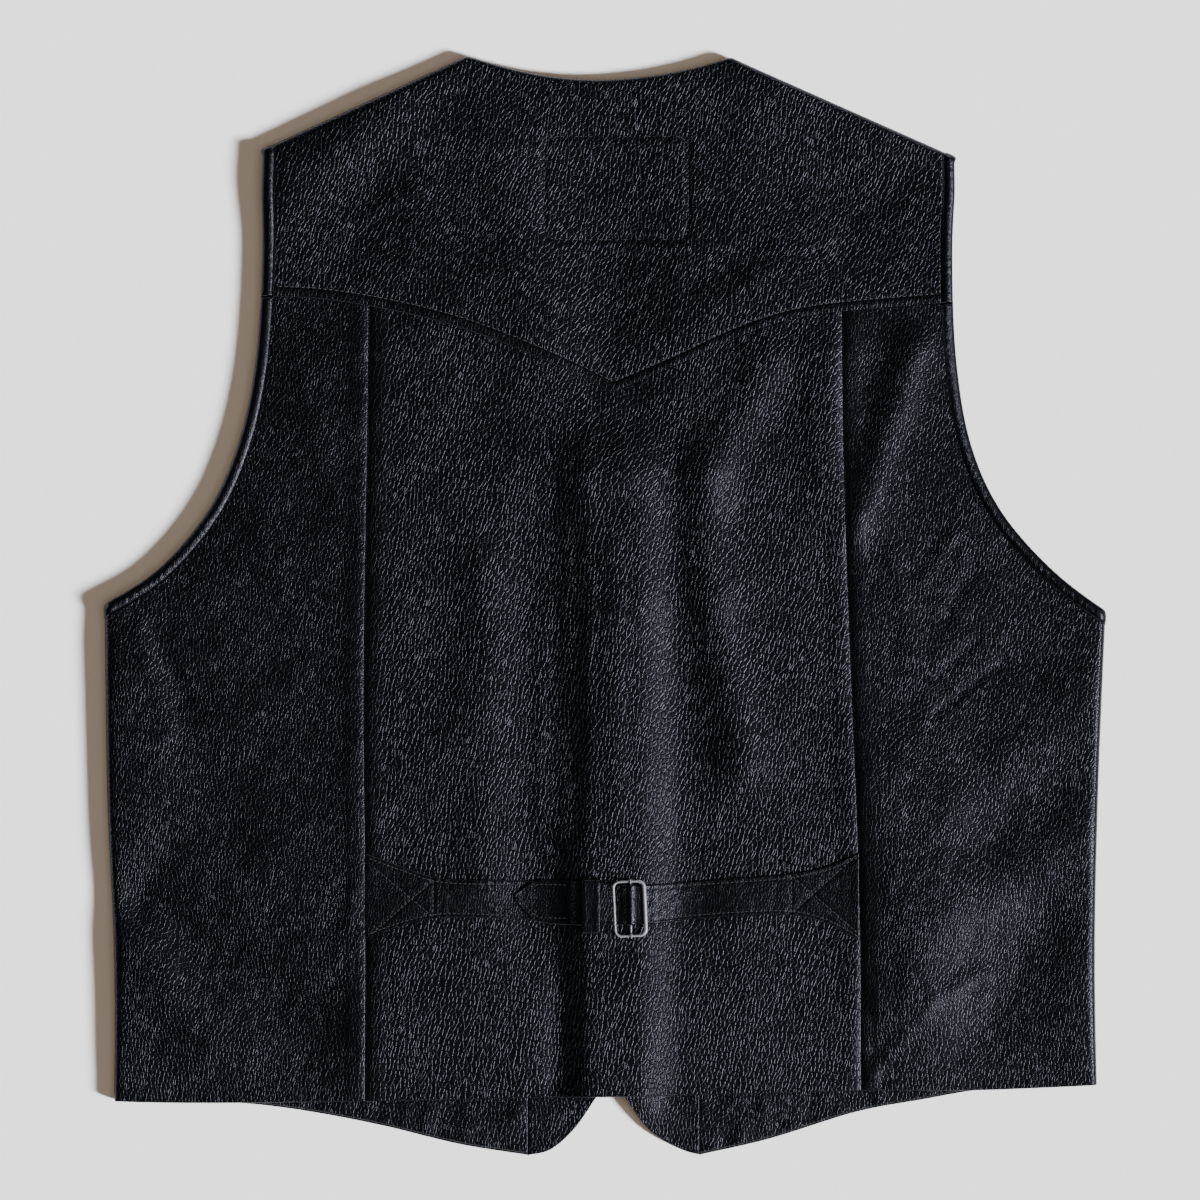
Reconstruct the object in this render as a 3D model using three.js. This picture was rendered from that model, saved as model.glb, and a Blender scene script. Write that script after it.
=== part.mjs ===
// Leather vest, laid flat on its fronts with the back up. Millimetres, +Z up, neck toward +Y and the
// wearer's left side toward -X. The origin lies on the ground under the middle of the outline.
import * as THREE from "three";

// Driving sizes
const LEATHER = 1.4; // fronts and back
const LINER = 1.2; // facings
const STRAP = 1.1; // cinch strap
const GAP = 0.3; // between pieces that are sewn together
const CLEAR = 0.55; // between a strap and what it lies on
const BACK_LIE = 4.9; // middle of the back's leather above the ground
const LAP = 9; // how far the yoke lies over the panels below it
const LAP_CLEAR = 0.2; // more room under the yoke, where both sheets are curved
const YOKE_CORNER_X = 190; // where the yoke's seam meets the armhole's band
const TURN = 12; // leather turned under at the shoulders and the neck
const SIDE_TURN = 15; // side back turned under, up to the side seam
const NECK_RADIUS = 1; // middle of the leather where the neck edge turns under
const BAND = 7; // armhole band
const BAND_OVER = 1.2; // how far a band stands above the middle of the leather that it binds

const BLACK = { color: 0x17181c, roughness: 0.55, metalness: 0 };
const GREY_METAL = { color: 0x54565b, roughness: 0.35, metalness: 1 };

// Outlines of the back, x and y in its plane
const SIDE_FOLD = {
  left: [
    { x: -274.9, y: -290 },
    { x: -274.8, y: -199 },
    { x: -278.6, y: -109 },
    { x: -280.3, y: 10 },
  ],
  right: [
    { x: 275.3, y: -290 },
    { x: 273.8, y: -199 },
    { x: 275.5, y: -109 },
    { x: 280.3, y: 10 },
  ],
};
const HEM = {
  left: [
    { x: -301, y: -277 },
    { x: -240, y: -278.7 },
    { x: -134.4, y: -277.9 },
  ],
  middle: [
    { x: -134.4, y: -277.9 },
    { x: -44, y: -275.9 },
    { x: 47, y: -274.3 },
    { x: 143.1, y: -271.8 },
  ],
  right: [
    { x: 301, y: -267.6 },
    { x: 210, y: -271.6 },
    { x: 143.1, y: -271.8 },
  ],
};
const BACK_SEAM = {
  left: [
    { x: -134.4, y: -277.9 },
    { x: -134.1, y: -165 },
    { x: -135.1, y: -45 },
    { x: -133, y: 98 },
    { x: -132.2, y: 176 },
  ],
  right: [
    { x: 143.1, y: -271.8 },
    { x: 142.2, y: -165 },
    { x: 138, y: -53 },
    { x: 133.6, y: 70 },
    { x: 132.2, y: 173 },
  ],
};
// From the side seam under the arm, round the side fold, to the shoulder
const ARMHOLE = {
  left: [
    { x: -301, y: -7 },
    { x: -291, y: -5.5 },
    { x: -280.8, y: 0 },
    { x: -250.6, y: 19.5 },
    { x: -222, y: 53 },
    { x: -206.4, y: 87 },
    { x: -196.3, y: 131 },
    { x: -191.8, y: 198 },
    { x: -193.2, y: 254.1 },
  ],
  right: [
    { x: 301, y: -11 },
    { x: 291, y: -9.5 },
    { x: 280.8, y: -4 },
    { x: 250, y: 19.5 },
    { x: 220.9, y: 53 },
    { x: 205.2, y: 87 },
    { x: 196.8, y: 131 },
    { x: 194, y: 198 },
    { x: 196.6, y: 250 },
  ],
};
const YOKE_SEAM = {
  left: [
    { x: -200, y: 172.5 },
    { x: -154, y: 170.1 },
    { x: -88, y: 156.7 },
    { x: -29, y: 134.3 },
    { x: 4.2, y: 118.3 },
  ],
  right: [
    { x: 4.2, y: 118.3 },
    { x: 42, y: 134.3 },
    { x: 76, y: 149.9 },
    { x: 109, y: 160 },
    { x: 200, y: 169.2 },
  ],
};
const NECK = [
  { x: -77.5, y: 307 },
  { x: -55.7, y: 300.6 },
  { x: -31, y: 295.5 },
  { x: -2, y: 293.6 },
  { x: 28, y: 296.1 },
  { x: 53, y: 301.1 },
  { x: 70, y: 306.3 },
];

// Outlines of the fronts, hidden below the back except for their points
const FRONT_ARMHOLE = {
  left: [
    { x: -246, y: -6.5 },
    { x: -226, y: 8 },
    { x: -206, y: 40 },
    { x: -190, y: 84 },
    { x: -181, y: 132 },
    { x: -179, y: 185 },
  ],
  right: [
    { x: 246, y: -9.5 },
    { x: 226, y: 8 },
    { x: 206, y: 40 },
    { x: 190, y: 84 },
    { x: 182, y: 132 },
    { x: 181, y: 185 },
  ],
};
const FRONT_HEM = {
  left: [
    { x: -262, y: -277.3 },
    { x: -204.7, y: -279 },
    { x: -171, y: -282.9 },
    { x: -126, y: -291.3 },
    { x: -81.5, y: -302 },
    { x: -43.4, y: -308.1 },
  ],
  right: [
    { x: 262, y: -268 },
    { x: 209.7, y: -271.7 },
    { x: 176.7, y: -277.3 },
    { x: 142.5, y: -283.5 },
    { x: 90, y: -299.5 },
    { x: 52.9, y: -307.9 },
  ],
};
// From the lowest point of each front, up its cutaway edge to the back's hem
const CUTAWAY = {
  left: [
    { x: -43.4, y: -308.1 },
    { x: -31.6, y: -305.3 },
    { x: -18.2, y: -294.1 },
    { x: -4.8, y: -275.1 },
  ],
  right: [
    { x: 52.9, y: -307.9 },
    { x: 43.4, y: -305.3 },
    { x: 25, y: -294.5 },
    { x: 10.9, y: -275.7 },
  ],
};
const OPENING = {
  left: [
    { x: -4.8, y: -275.1 },
    { x: 9.2, y: -238 },
    { x: 15, y: -190 },
  ],
  right: [
    { x: 10.9, y: -275.7 },
    { x: -3.1, y: -238.1 },
    { x: -8.5, y: -190 },
  ],
};
const V_NECK = {
  left: [
    { x: 15, y: 20 },
    { x: -34, y: 152 },
  ],
  right: [
    { x: -8.5, y: 20 },
    { x: 36, y: 152 },
  ],
};
const NECK_END = { left: -86, right: 82 }; // where a shoulder seam ends at the neck
const FACING_FROM = 0.785; // of a front's width, from its side seam
const UPRIGHT_TO = -262; // height up to which the facing's seam is upright
const HEM_FACING_ROWS = 3;

// Where the leather of the back rises or sinks, as soft ridges along short lines
const FOLDS = [
  { name: "left of the opening", x1: -41, y1: 35, x2: -41, y2: -190, width: 15, rise: -0.7 },
  { name: "left of the opening, low", x1: -25, y1: -205, x2: -25, y2: -268, width: 9, rise: -0.9 },
  { name: "beside the left facing", x1: -68, y1: 25, x2: -70, y2: -150, width: 14, rise: 0.8 },
  { name: "right of the opening", x1: 46, y1: -10, x2: 51, y2: -165, width: 14, rise: -0.7 },
  { name: "upper right of the opening", x1: 92, y1: 138, x2: 56, y2: 72, width: 14, rise: 1.3 },
  { name: "beside the opening", x1: 56, y1: 72, x2: 57, y2: 10, width: 14, rise: 1.5 },
  { name: "beside the right facing", x1: 60, y1: -5, x2: 76, y2: -85, width: 14, rise: 1.5 },
  { name: "left edge of the V", x1: -63, y1: 250, x2: -14, y2: 78, width: 20, rise: 0.9 },
  { name: "inside the V", x1: 2, y1: 240, x2: 3, y2: 140, width: 34, rise: -1.1 },
  { name: "right armhole", x1: 172, y1: 143, x2: 140, y2: 45, width: 11, rise: 1.5 },
  { name: "right blade", x1: 120, y1: 140, x2: 121, y2: 50, width: 13, rise: 1.1 },
  { name: "right hip", x1: 158, y1: -95, x2: 176, y2: -210, width: 30, rise: 2 },
  { name: "right flank", x1: 262, y1: -128, x2: 205, y2: -158, width: 16, rise: 0.9 },
  { name: "right flank, upper", x1: 262, y1: -50, x2: 200, y2: -110, width: 18, rise: 0.9 },
  { name: "right hem", x1: 243, y1: -175, x2: 213, y2: -240, width: 18, rise: -1.1 },
  { name: "left flank", x1: -258, y1: -165, x2: -165, y2: -242, width: 20, rise: -1.2 },
  { name: "left hip", x1: -262, y1: -190, x2: -225, y2: -245, width: 18, rise: 1 },
  { name: "left side", x1: -266, y1: -28, x2: -250, y2: -90, width: 16, rise: 0.9 },
  { name: "left shoulder", x1: -180, y1: 230, x2: -122, y2: 276, width: 20, rise: 1.3 },
  { name: "right shoulder", x1: 112, y1: 235, x2: 150, y2: 205, width: 24, rise: -0.9 },
];
const OVERLAP_RISE = 2.4; // where the back lies over both fronts
const SIDE_RISE = 1.2;
const SHOULDER_RISE = 0.8;
const HEM_SAG = 0.8;
const EDGE_REACH = 26; // how far in from an edge its rise or sag reaches

const lerp = THREE.MathUtils.lerp;

function between(low, high, value) {
  return THREE.MathUtils.smoothstep(value, low, high);
}

// A path through one or more tables of points, each a smooth curve, read by its share of the length
class Path {
  constructor(points) {
    this.points = points;
    this.lengths = [0];
    for (let i = 1; i < points.length; i++) {
      this.lengths.push(this.lengths[i - 1] + points[i].distanceTo(points[i - 1]));
    }
    this.length = this.lengths[points.length - 1];
  }
  static through(...tables) {
    const points = [];
    for (const rows of tables) {
      const knots = rows.map(({ x, y }) => new THREE.Vector3(x, y, 0));
      const curve = new THREE.CatmullRomCurve3(knots, false, "centripetal");
      const smooth = curve.getPoints((rows.length - 1) * 10);
      points.push(...smooth.slice(points.length ? 1 : 0));
    }
    return new Path(points.map(({ x, y }) => new THREE.Vector2(x, y)));
  }
  at(share) {
    const goal = THREE.MathUtils.clamp(share, 0, 1) * this.length;
    let i = 1;
    while (i < this.points.length - 1 && this.lengths[i] < goal) i++;
    const part = (goal - this.lengths[i - 1]) / (this.lengths[i] - this.lengths[i - 1]);
    return this.points[i - 1].clone().lerp(this.points[i], part);
  }
  // The share at which a coordinate first comes to a value, or else the nearer end
  reach(axis, value) {
    for (let i = 1; i < this.points.length; i++) {
      const a = this.points[i - 1][axis] - value;
      const b = this.points[i][axis] - value;
      if (a * b <= 0 && a !== b) {
        const step = this.lengths[i] - this.lengths[i - 1];
        return (this.lengths[i - 1] + (step * a) / (a - b)) / this.length;
      }
    }
    const ends = [this.points[0], this.points.at(-1)].map((point) => Math.abs(point[axis] - value));
    return ends[0] < ends[1] ? 0 : 1;
  }
  // The path moved sideways, to the right of its direction where the distance is positive
  beside(distance) {
    const moved = this.points.map((point, i) => {
      const before = this.points[Math.max(i - 1, 0)];
      const after = this.points[Math.min(i + 1, this.points.length - 1)];
      const along = after.clone().sub(before).normalize();
      return new THREE.Vector2(point.x + along.y * distance, point.y - along.x * distance);
    });
    return new Path(moved);
  }
}

// A four-sided patch between boundary curves
function patch({ bottom, top, start, end }) {
  const corners = [bottom(0), bottom(1), top(0), top(1)];
  return (u, v) => {
    const point = bottom(u).multiplyScalar(1 - v);
    point.addScaledVector(top(u), v);
    point.addScaledVector(start(v), 1 - u);
    point.addScaledVector(end(v), u);
    point.addScaledVector(corners[0], -(1 - u) * (1 - v));
    point.addScaledVector(corners[1], -u * (1 - v));
    point.addScaledVector(corners[2], -(1 - u) * v);
    return point.addScaledVector(corners[3], -u * v);
  };
}

const sides = ["left", "right"];
const outward = { left: -1, right: 1 };
const fold = { left: Path.through(SIDE_FOLD.left), right: Path.through(SIDE_FOLD.right) };
const armhole = { left: Path.through(ARMHOLE.left), right: Path.through(ARMHOLE.right) };
const seam = { left: Path.through(BACK_SEAM.left), right: Path.through(BACK_SEAM.right) };
const neck = Path.through(NECK);
const hemLine = Path.through(HEM.left, HEM.middle, [...HEM.right].reverse());
const yokeSeam = Path.through(YOKE_SEAM.left, YOKE_SEAM.right);
const topEdge = Path.through(
  [ARMHOLE.left.at(-1), NECK[0]],
  NECK,
  [NECK.at(-1), ARMHOLE.right.at(-1)],
);

function heightAlong(path, x) {
  return path.at(path.reach("x", x)).y;
}

function foldX(side, y) {
  return fold[side].at(fold[side].reach("y", THREE.MathUtils.clamp(y, -289, 9))).x;
}

// A soft ridge of unit height along the line of a fold
function ridge(x, y, { x1, y1, x2, y2, width }) {
  const length = (x2 - x1) ** 2 + (y2 - y1) ** 2;
  const share = THREE.MathUtils.clamp(((x - x1) * (x2 - x1) + (y - y1) * (y2 - y1)) / length, 0, 1);
  const away = Math.hypot(x - x1 - share * (x2 - x1), y - y1 - share * (y2 - y1));
  return Math.exp(-((away / width) ** 2));
}

function nearEdge(distance) {
  return Math.exp(-((Math.max(distance, 0) / EDGE_REACH) ** 2));
}

// Height of the middle of the back's leather
function backHeight(x, y) {
  let z = BACK_LIE;
  for (const row of FOLDS) z += row.rise * ridge(x, y, row);
  const overlap = between(-30, -8, x) * (1 - between(16.5, 43, x)) * (1 - between(70, 108, y));
  z += OVERLAP_RISE * overlap;
  if (y < 60) {
    const toSide = Math.min(x - foldX("left", y), foldX("right", y) - x);
    z += SIDE_RISE * nearEdge(toSide) * (1 - between(0, 60, y));
  }
  if (y > 200) {
    const shoulder = between(60, 95, Math.abs(x));
    z += SHOULDER_RISE * shoulder * nearEdge(heightAlong(topEdge, x) - y);
  }
  return z - HEM_SAG * nearEdge(y - heightAlong(hemLine, x)) * (1 - 0.7 * overlap);
}

function onBack({ x, y }) {
  return new THREE.Vector3(x, y, backHeight(x, y));
}

// A point that lies some way past the start of a roll, round it and back underneath
function rolled(start, direction, radius, past) {
  const point = start.clone();
  const turned = Math.min(past / radius, Math.PI);
  const under = Math.max(past - Math.PI * radius, 0);
  const across = radius * Math.sin(turned) - under;
  point.x += direction.x * across;
  point.y += direction.y * across;
  point.z -= radius * (1 - Math.cos(turned));
  return point;
}

function floorRadius(height) {
  return (height - LEATHER / 2) / 2;
}

// The plane of a side back, rolled round the side fold
function rollStart(side, y) {
  const edge = foldX(side, y) - (outward[side] * LEATHER) / 2;
  const radius = floorRadius(backHeight(edge - outward[side] * 3, y));
  return { x: edge - outward[side] * radius, radius };
}

function onSide(side, { x, y }) {
  const start = rollStart(side, y);
  const past = outward[side] * (x - start.x);
  if (past <= 0) return onBack({ x, y });
  const base = new THREE.Vector3(start.x, y, start.radius * 2 + LEATHER / 2);
  return rolled(base, { x: outward[side], y: 0 }, start.radius, past);
}

function sideSeamX(side, y) {
  const start = rollStart(side, y);
  return start.x + outward[side] * (Math.PI * start.radius + SIDE_TURN);
}

// The yoke is raised where it lies over the panels below it
function yokeHeight(x, y) {
  const above = y - heightAlong(yokeSeam, x);
  const raised = (LEATHER + GAP + LAP_CLEAR) * (1 - between(LAP + 1, LAP + 15, above));
  return backHeight(x, y) + raised;
}

// The direction in which the top edge rolls over, turning gently round the neck points
const ROLL_WINDOW = 24;
function topRoll(x) {
  const share = topEdge.reach("x", x);
  const window = ROLL_WINDOW / topEdge.length;
  const before = topEdge.at(Math.max(share - window, 0.02));
  const after = topEdge.at(Math.min(share + window, 0.98));
  const along = after.sub(before).normalize();
  const direction = new THREE.Vector2(-along.y, along.x);
  const edge = topEdge.at(share).addScaledVector(direction, -LEATHER / 2);
  const height = backHeight(edge.x, edge.y - 3);
  const shoulder = between(66, 86, -x) + between(60, 80, x);
  const radius = lerp(NECK_RADIUS, floorRadius(height), shoulder);
  const start = edge.addScaledVector(direction, -radius);
  return { direction, radius, start, height };
}

function overTop(x, past) {
  const { direction, radius, start, height } = topRoll(x);
  const base = new THREE.Vector3(start.x, start.y, height);
  return rolled(base, direction, radius, past);
}

// How far the right front is lifted where it lies over the left front and its facing
function frontLift(side, x, y) {
  if (side === "left") return 0;
  const across = 1 - between(18, 38, x);
  const along = between(-306, -262, y) * (1 - between(62, 90, y));
  return (LEATHER + LINER + 2 * GAP) * across * along;
}

function onFront(side, { x, y }) {
  return new THREE.Vector3(x, y, LEATHER / 2 + frontLift(side, x, y));
}

// Where the leather that the yoke turns under ends, and the front begins
function shoulderSeam(x) {
  const { direction, start } = topRoll(x);
  return start.clone().addScaledVector(direction, -TURN - GAP);
}

const vest = new THREE.Group();

function add(name, geometry, look = BLACK) {
  geometry.computeVertexNormals();
  const mesh = new THREE.Mesh(geometry, new THREE.MeshStandardMaterial(look));
  mesh.name = name;
  vest.add(mesh);
  return mesh;
}

// A closed wall on a grid of points in the middle of its leather: the points moved out along their
// normals make the outer face, the points moved in the inner one, and a rim joins them.
function wall({ columns, rows, point, over, under, flip = false }) {
  const wide = columns.length;
  const tall = rows.length;
  const grid = rows.map((v) => columns.map((u) => point(u, v)));
  const place = (i, j) => grid[THREE.MathUtils.clamp(j, 0, tall - 1)][THREE.MathUtils.clamp(i, 0, wide - 1)];
  const outer = [];
  const inner = [];
  for (let j = 0; j < tall; j++) {
    for (let i = 0; i < wide; i++) {
      const across = place(i + 1, j).clone().sub(place(i - 1, j));
      const along = place(i, j + 1).clone().sub(place(i, j - 1));
      const normal = across.cross(along).normalize();
      if (flip) normal.negate();
      const thickness = typeof over === "function" ? over(columns[i]) : over;
      outer.push(place(i, j).clone().addScaledVector(normal, thickness));
      inner.push(place(i, j).clone().addScaledVector(normal, -under));
    }
  }
  const faces = [];
  const quad = (a, b, c, d) => faces.push(...(flip ? [a, c, b, a, d, c] : [a, b, c, a, c, d]));
  const below = wide * tall;
  for (let j = 0; j < tall - 1; j++) {
    for (let i = 0; i < wide - 1; i++) {
      const a = j * wide + i;
      quad(a, a + 1, a + 1 + wide, a + wide);
      quad(below + a, below + a + wide, below + a + 1 + wide, below + a + 1);
    }
  }
  for (let i = 0; i < wide - 1; i++) {
    const last = (tall - 1) * wide + i;
    quad(i, below + i, below + i + 1, i + 1);
    quad(last, last + 1, below + last + 1, below + last);
  }
  for (let j = 0; j < tall - 1; j++) {
    const first = j * wide;
    const last = first + wide - 1;
    quad(first, first + wide, below + first + wide, below + first);
    quad(last, below + last, below + last + wide, last + wide);
  }
  const geometry = new THREE.BufferGeometry().setFromPoints([...outer, ...inner]);
  geometry.setIndex(faces);
  return geometry;
}

function evenly(count, from = 0, to = 1) {
  return Array.from({ length: count + 1 }, (_, i) => from + ((to - from) * i) / count);
}

const half = { over: LEATHER / 2, under: LEATHER / 2 };

// The curve inside an armhole's edge by some distance
function insideArmhole(side, distance) {
  return armhole[side].beside(-outward[side] * distance);
}

function yokeLevel(x) {
  return heightAlong(yokeSeam, x);
}

// The top of the panels below the yoke, which run on under it
function underYoke(x) {
  return new THREE.Vector2(x, yokeLevel(x) + LAP);
}

// A back seam as the edge of a panel on its near or far side
function seamEdge(side, shift, top) {
  const to = seam[side].reach("y", top);
  return (v) => {
    const point = seam[side].at(v * to);
    return point.setX(point.x + shift);
  };
}

function backCentre() {
  const hem = Path.through(HEM.middle);
  const tip = YOKE_SEAM.right[0].x;
  const leftX = BACK_SEAM.left.at(-1).x + GAP / 2;
  const rightX = BACK_SEAM.right.at(-1).x - GAP / 2;
  const top = (u) => underYoke(u < 0.5 ? lerp(leftX, tip, 2 * u) : lerp(tip, rightX, 2 * u - 1));
  const plane = patch({
    bottom: (u) => hem.at(u),
    top,
    start: seamEdge("left", GAP / 2, top(0).y),
    end: seamEdge("right", -GAP / 2, top(1).y),
  });
  const point = (u, v) => onBack(plane(u, v));
  // Narrow columns where the back lies over the opening
  const columns = [...evenly(6, 0, 0.3), ...evenly(16, 0.32, 0.68), ...evenly(5, 0.74, 1)];
  add("back_centre", wall({ columns, rows: evenly(18), point, ...half }));
}

// Shares of the way across a side back, from its seam under the side fold to the back seam
const ROLL_FROM = 0.06;
const ROLL_TO = 0.14;
const ARMHOLE_TO = 0.8;
const SIDE_COLUMNS = [0, ...evenly(6, ROLL_FROM, ROLL_TO), ...evenly(12, 0.19, ARMHOLE_TO)];

// The x of a share that lies under the fold or on its roll
function foldedX(side, y, share) {
  const start = rollStart(side, y);
  const rollEnd = start.x + outward[side] * Math.PI * start.radius;
  if (share < ROLL_FROM) return lerp(sideSeamX(side, y), rollEnd, share / ROLL_FROM);
  return lerp(rollEnd, start.x, (share - ROLL_FROM) / (ROLL_TO - ROLL_FROM));
}

// Where a share of the way across falls on a curve inside the armhole
function shareOfArmhole(side, line, share) {
  const level = line.at(0).y;
  const atRoll = line.reach("x", foldedX(side, level, ROLL_TO));
  if (share <= ROLL_TO) return line.reach("x", foldedX(side, level, share));
  const atYoke = line.reach("y", yokeLevel(outward[side] * YOKE_CORNER_X) + LAP);
  return lerp(atRoll, atYoke, (share - ROLL_TO) / (ARMHOLE_TO - ROLL_TO));
}

function backSide(side) {
  const hem = Path.through(HEM[side]);
  const inner = insideArmhole(side, BAND + GAP);
  const seamX = BACK_SEAM[side].at(-1).x + (outward[side] * GAP) / 2;
  const low = hem.at(0).y;
  const cornerX = inner.at(shareOfArmhole(side, inner, ARMHOLE_TO)).x;
  const top = (u) => {
    if (u <= ARMHOLE_TO) return inner.at(shareOfArmhole(side, inner, u));
    return underYoke(lerp(cornerX, seamX, (u - ARMHOLE_TO) / (1 - ARMHOLE_TO)));
  };
  const hemEnd = seam[side].at(0).x + (outward[side] * GAP) / 2;
  const bottom = (u) => {
    const flat = lerp(foldedX(side, low, ROLL_TO), hemEnd, (u - ROLL_TO) / (1 - ROLL_TO));
    const x = u <= ROLL_TO ? foldedX(side, low, u) : flat;
    return new THREE.Vector2(x, heightAlong(hem, x));
  };
  const high = top(0).y;
  const plane = patch({
    bottom,
    top,
    start: (v) => {
      const y = lerp(low, high, v);
      return new THREE.Vector2(sideSeamX(side, y), y);
    },
    end: seamEdge(side, (outward[side] * GAP) / 2, top(1).y),
  });
  const point = (u, v) => onSide(side, plane(u, v));
  const columns = [...SIDE_COLUMNS, ...evenly(3, 0.86, 1)];
  const geometry = wall({ columns, rows: evenly(16), point, ...half, flip: side === "right" });
  add(`back_side_${side}`, geometry);
}

// The side of the yoke, or a line of its armhole band, from the yoke seam to the shoulder's roll
function yokeSide(side, distance) {
  const line = insideArmhole(side, distance);
  const topX = line.at(1).x - outward[side] * LAP_CLEAR;
  const roll = topRoll(topX);
  const from = line.reach("y", yokeLevel(outward[side] * YOKE_CORNER_X));
  const to = line.reach("y", roll.start.y);
  const at = (v) => {
    const point = line.at(lerp(from, to, v));
    return point.setX(lerp(point.x, roll.start.x, between(0.6, 1, v)));
  };
  return { topX, at };
}

// Rows of the yoke and its bands: the flat part up to 1, the roll up to 2, then the part turned under
const YOKE_ROWS = [0, 0.035, 0.07, 0.11, 0.16, 0.22, ...evenly(7, 0.32, 1), ...evenly(5, 1.2, 2), 2.5, 3];
function roundTop(x, row) {
  const round = Math.PI * topRoll(x).radius;
  return overTop(x, row < 2 ? (row - 1) * round : round + (row - 2) * TURN);
}

function backYoke() {
  const tip = YOKE_SEAM.right[0].x;
  const left = yokeSide("left", BAND + GAP);
  const right = yokeSide("right", BAND + GAP);
  const [leftX, rightX] = [left.at(0).x, right.at(0).x];
  const bottom = (u) => {
    const x = u < 0.5 ? lerp(leftX, tip, 2 * u) : lerp(tip, rightX, 2 * u - 1);
    return new THREE.Vector2(x, yokeLevel(x));
  };
  // Along the top edge: a shoulder, the neck between its two points, and the other shoulder
  const stops = [left.topX, NECK[0].x, NECK.at(-1).x, right.topX];
  const shares = [0, 0.3, 0.7, 1];
  const topX = (u) => {
    const i = u < shares[1] ? 0 : u < shares[2] ? 1 : 2;
    return THREE.MathUtils.mapLinear(u, shares[i], shares[i + 1], stops[i], stops[i + 1]);
  };
  const plane = patch({
    bottom,
    top: (u) => topRoll(topX(u)).start.clone(),
    start: left.at,
    end: right.at,
  });
  const point = (u, v) => {
    if (v > 1) return roundTop(topX(u), v);
    const { x, y } = plane(u, v);
    return new THREE.Vector3(x, y, yokeHeight(x, y));
  };
  add("back_yoke", wall({ columns: evenly(30), rows: YOKE_ROWS, point, ...half }));
}

// Bands that finish the armholes, folded double over the edge
const BAND_LINES = [0, 0.3, 0.7, 1];

function bandOnSide(side) {
  const lines = BAND_LINES.map((share) => insideArmhole(side, share * BAND));
  const shareOf = (v, u) => shareOfArmhole(side, lines[v], u);
  const end = lines[3].reach("y", yokeLevel(outward[side] * YOKE_CORNER_X) - GAP);
  const columns = SIDE_COLUMNS.filter((u) => shareOf(3, u) < end - 0.01);
  const point = (u, v) => {
    if (u <= ARMHOLE_TO) return onSide(side, lines[v].at(shareOf(v, u)));
    const stop = lines[v].reach("y", yokeLevel(outward[side] * YOKE_CORNER_X) - GAP);
    return onSide(side, lines[v].at(stop));
  };
  const geometry = wall({
    columns: [...columns, 1],
    rows: [0, 1, 2, 3],
    point,
    over: (u) => lerp(LEATHER / 2, BAND_OVER, between(ROLL_FROM, ROLL_TO, u)),
    under: LEATHER / 2,
    flip: side === "left",
  });
  add(`band_side_${side}`, geometry);
}

function bandOnYoke(side) {
  const lines = BAND_LINES.map((share) => yokeSide(side, share * BAND));
  const point = (u, v) => (u > 1 ? roundTop(lines[v].topX, u) : onBack(lines[v].at(u)));
  const geometry = wall({
    columns: YOKE_ROWS.filter((u) => u === 0 || u > 0.1),
    rows: [0, 1, 2, 3],
    point,
    over: (u) => lerp(BAND_OVER, LEATHER / 2, between(1, 2, u)),
    under: LEATHER / 2,
    flip: side === "left",
  });
  add(`band_yoke_${side}`, geometry);
}

// Rows of a front: up its side seam, then up its armhole
const UNDERARM = 0.5;
const HEM_FACING_TO = 0.08;
const ARMHOLE_SHARES = evenly(14);
const FRONT_ROWS = [
  ...evenly(HEM_FACING_ROWS, 0, HEM_FACING_TO),
  ...evenly(4, 0.16, UNDERARM),
  ...ARMHOLE_SHARES.slice(1).map((share) => lerp(UNDERARM, 1, share)),
];
const FRONT_COLUMNS = [...evenly(7, 0, FACING_FROM), ...evenly(3, 0.85, 1)];

// The edge of a front at its side seam
function frontSeamX(side, y) {
  return rollStart(side, y).x - outward[side] * (SIDE_TURN + GAP);
}

function frontArmhole(side, distance) {
  const end = shoulderSeam(armhole[side].at(1).x);
  const { y } = ARMHOLE[side][0];
  const edge = Path.through([{ x: frontSeamX(side, y), y }, ...FRONT_ARMHOLE[side], { x: end.x, y: end.y }]);
  return edge.beside(-outward[side] * distance);
}

function bandOnFront(side) {
  const lines = [0, 0.5, 1].map((share) => frontArmhole(side, share * BAND));
  const geometry = wall({
    columns: ARMHOLE_SHARES,
    rows: [0, 1, 2],
    point: (u, v) => onFront(side, lines[v].at(u)),
    over: BAND_OVER,
    under: LEATHER / 2,
    flip: side === "left",
  });
  add(`band_front_${side}`, geometry);
}

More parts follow.
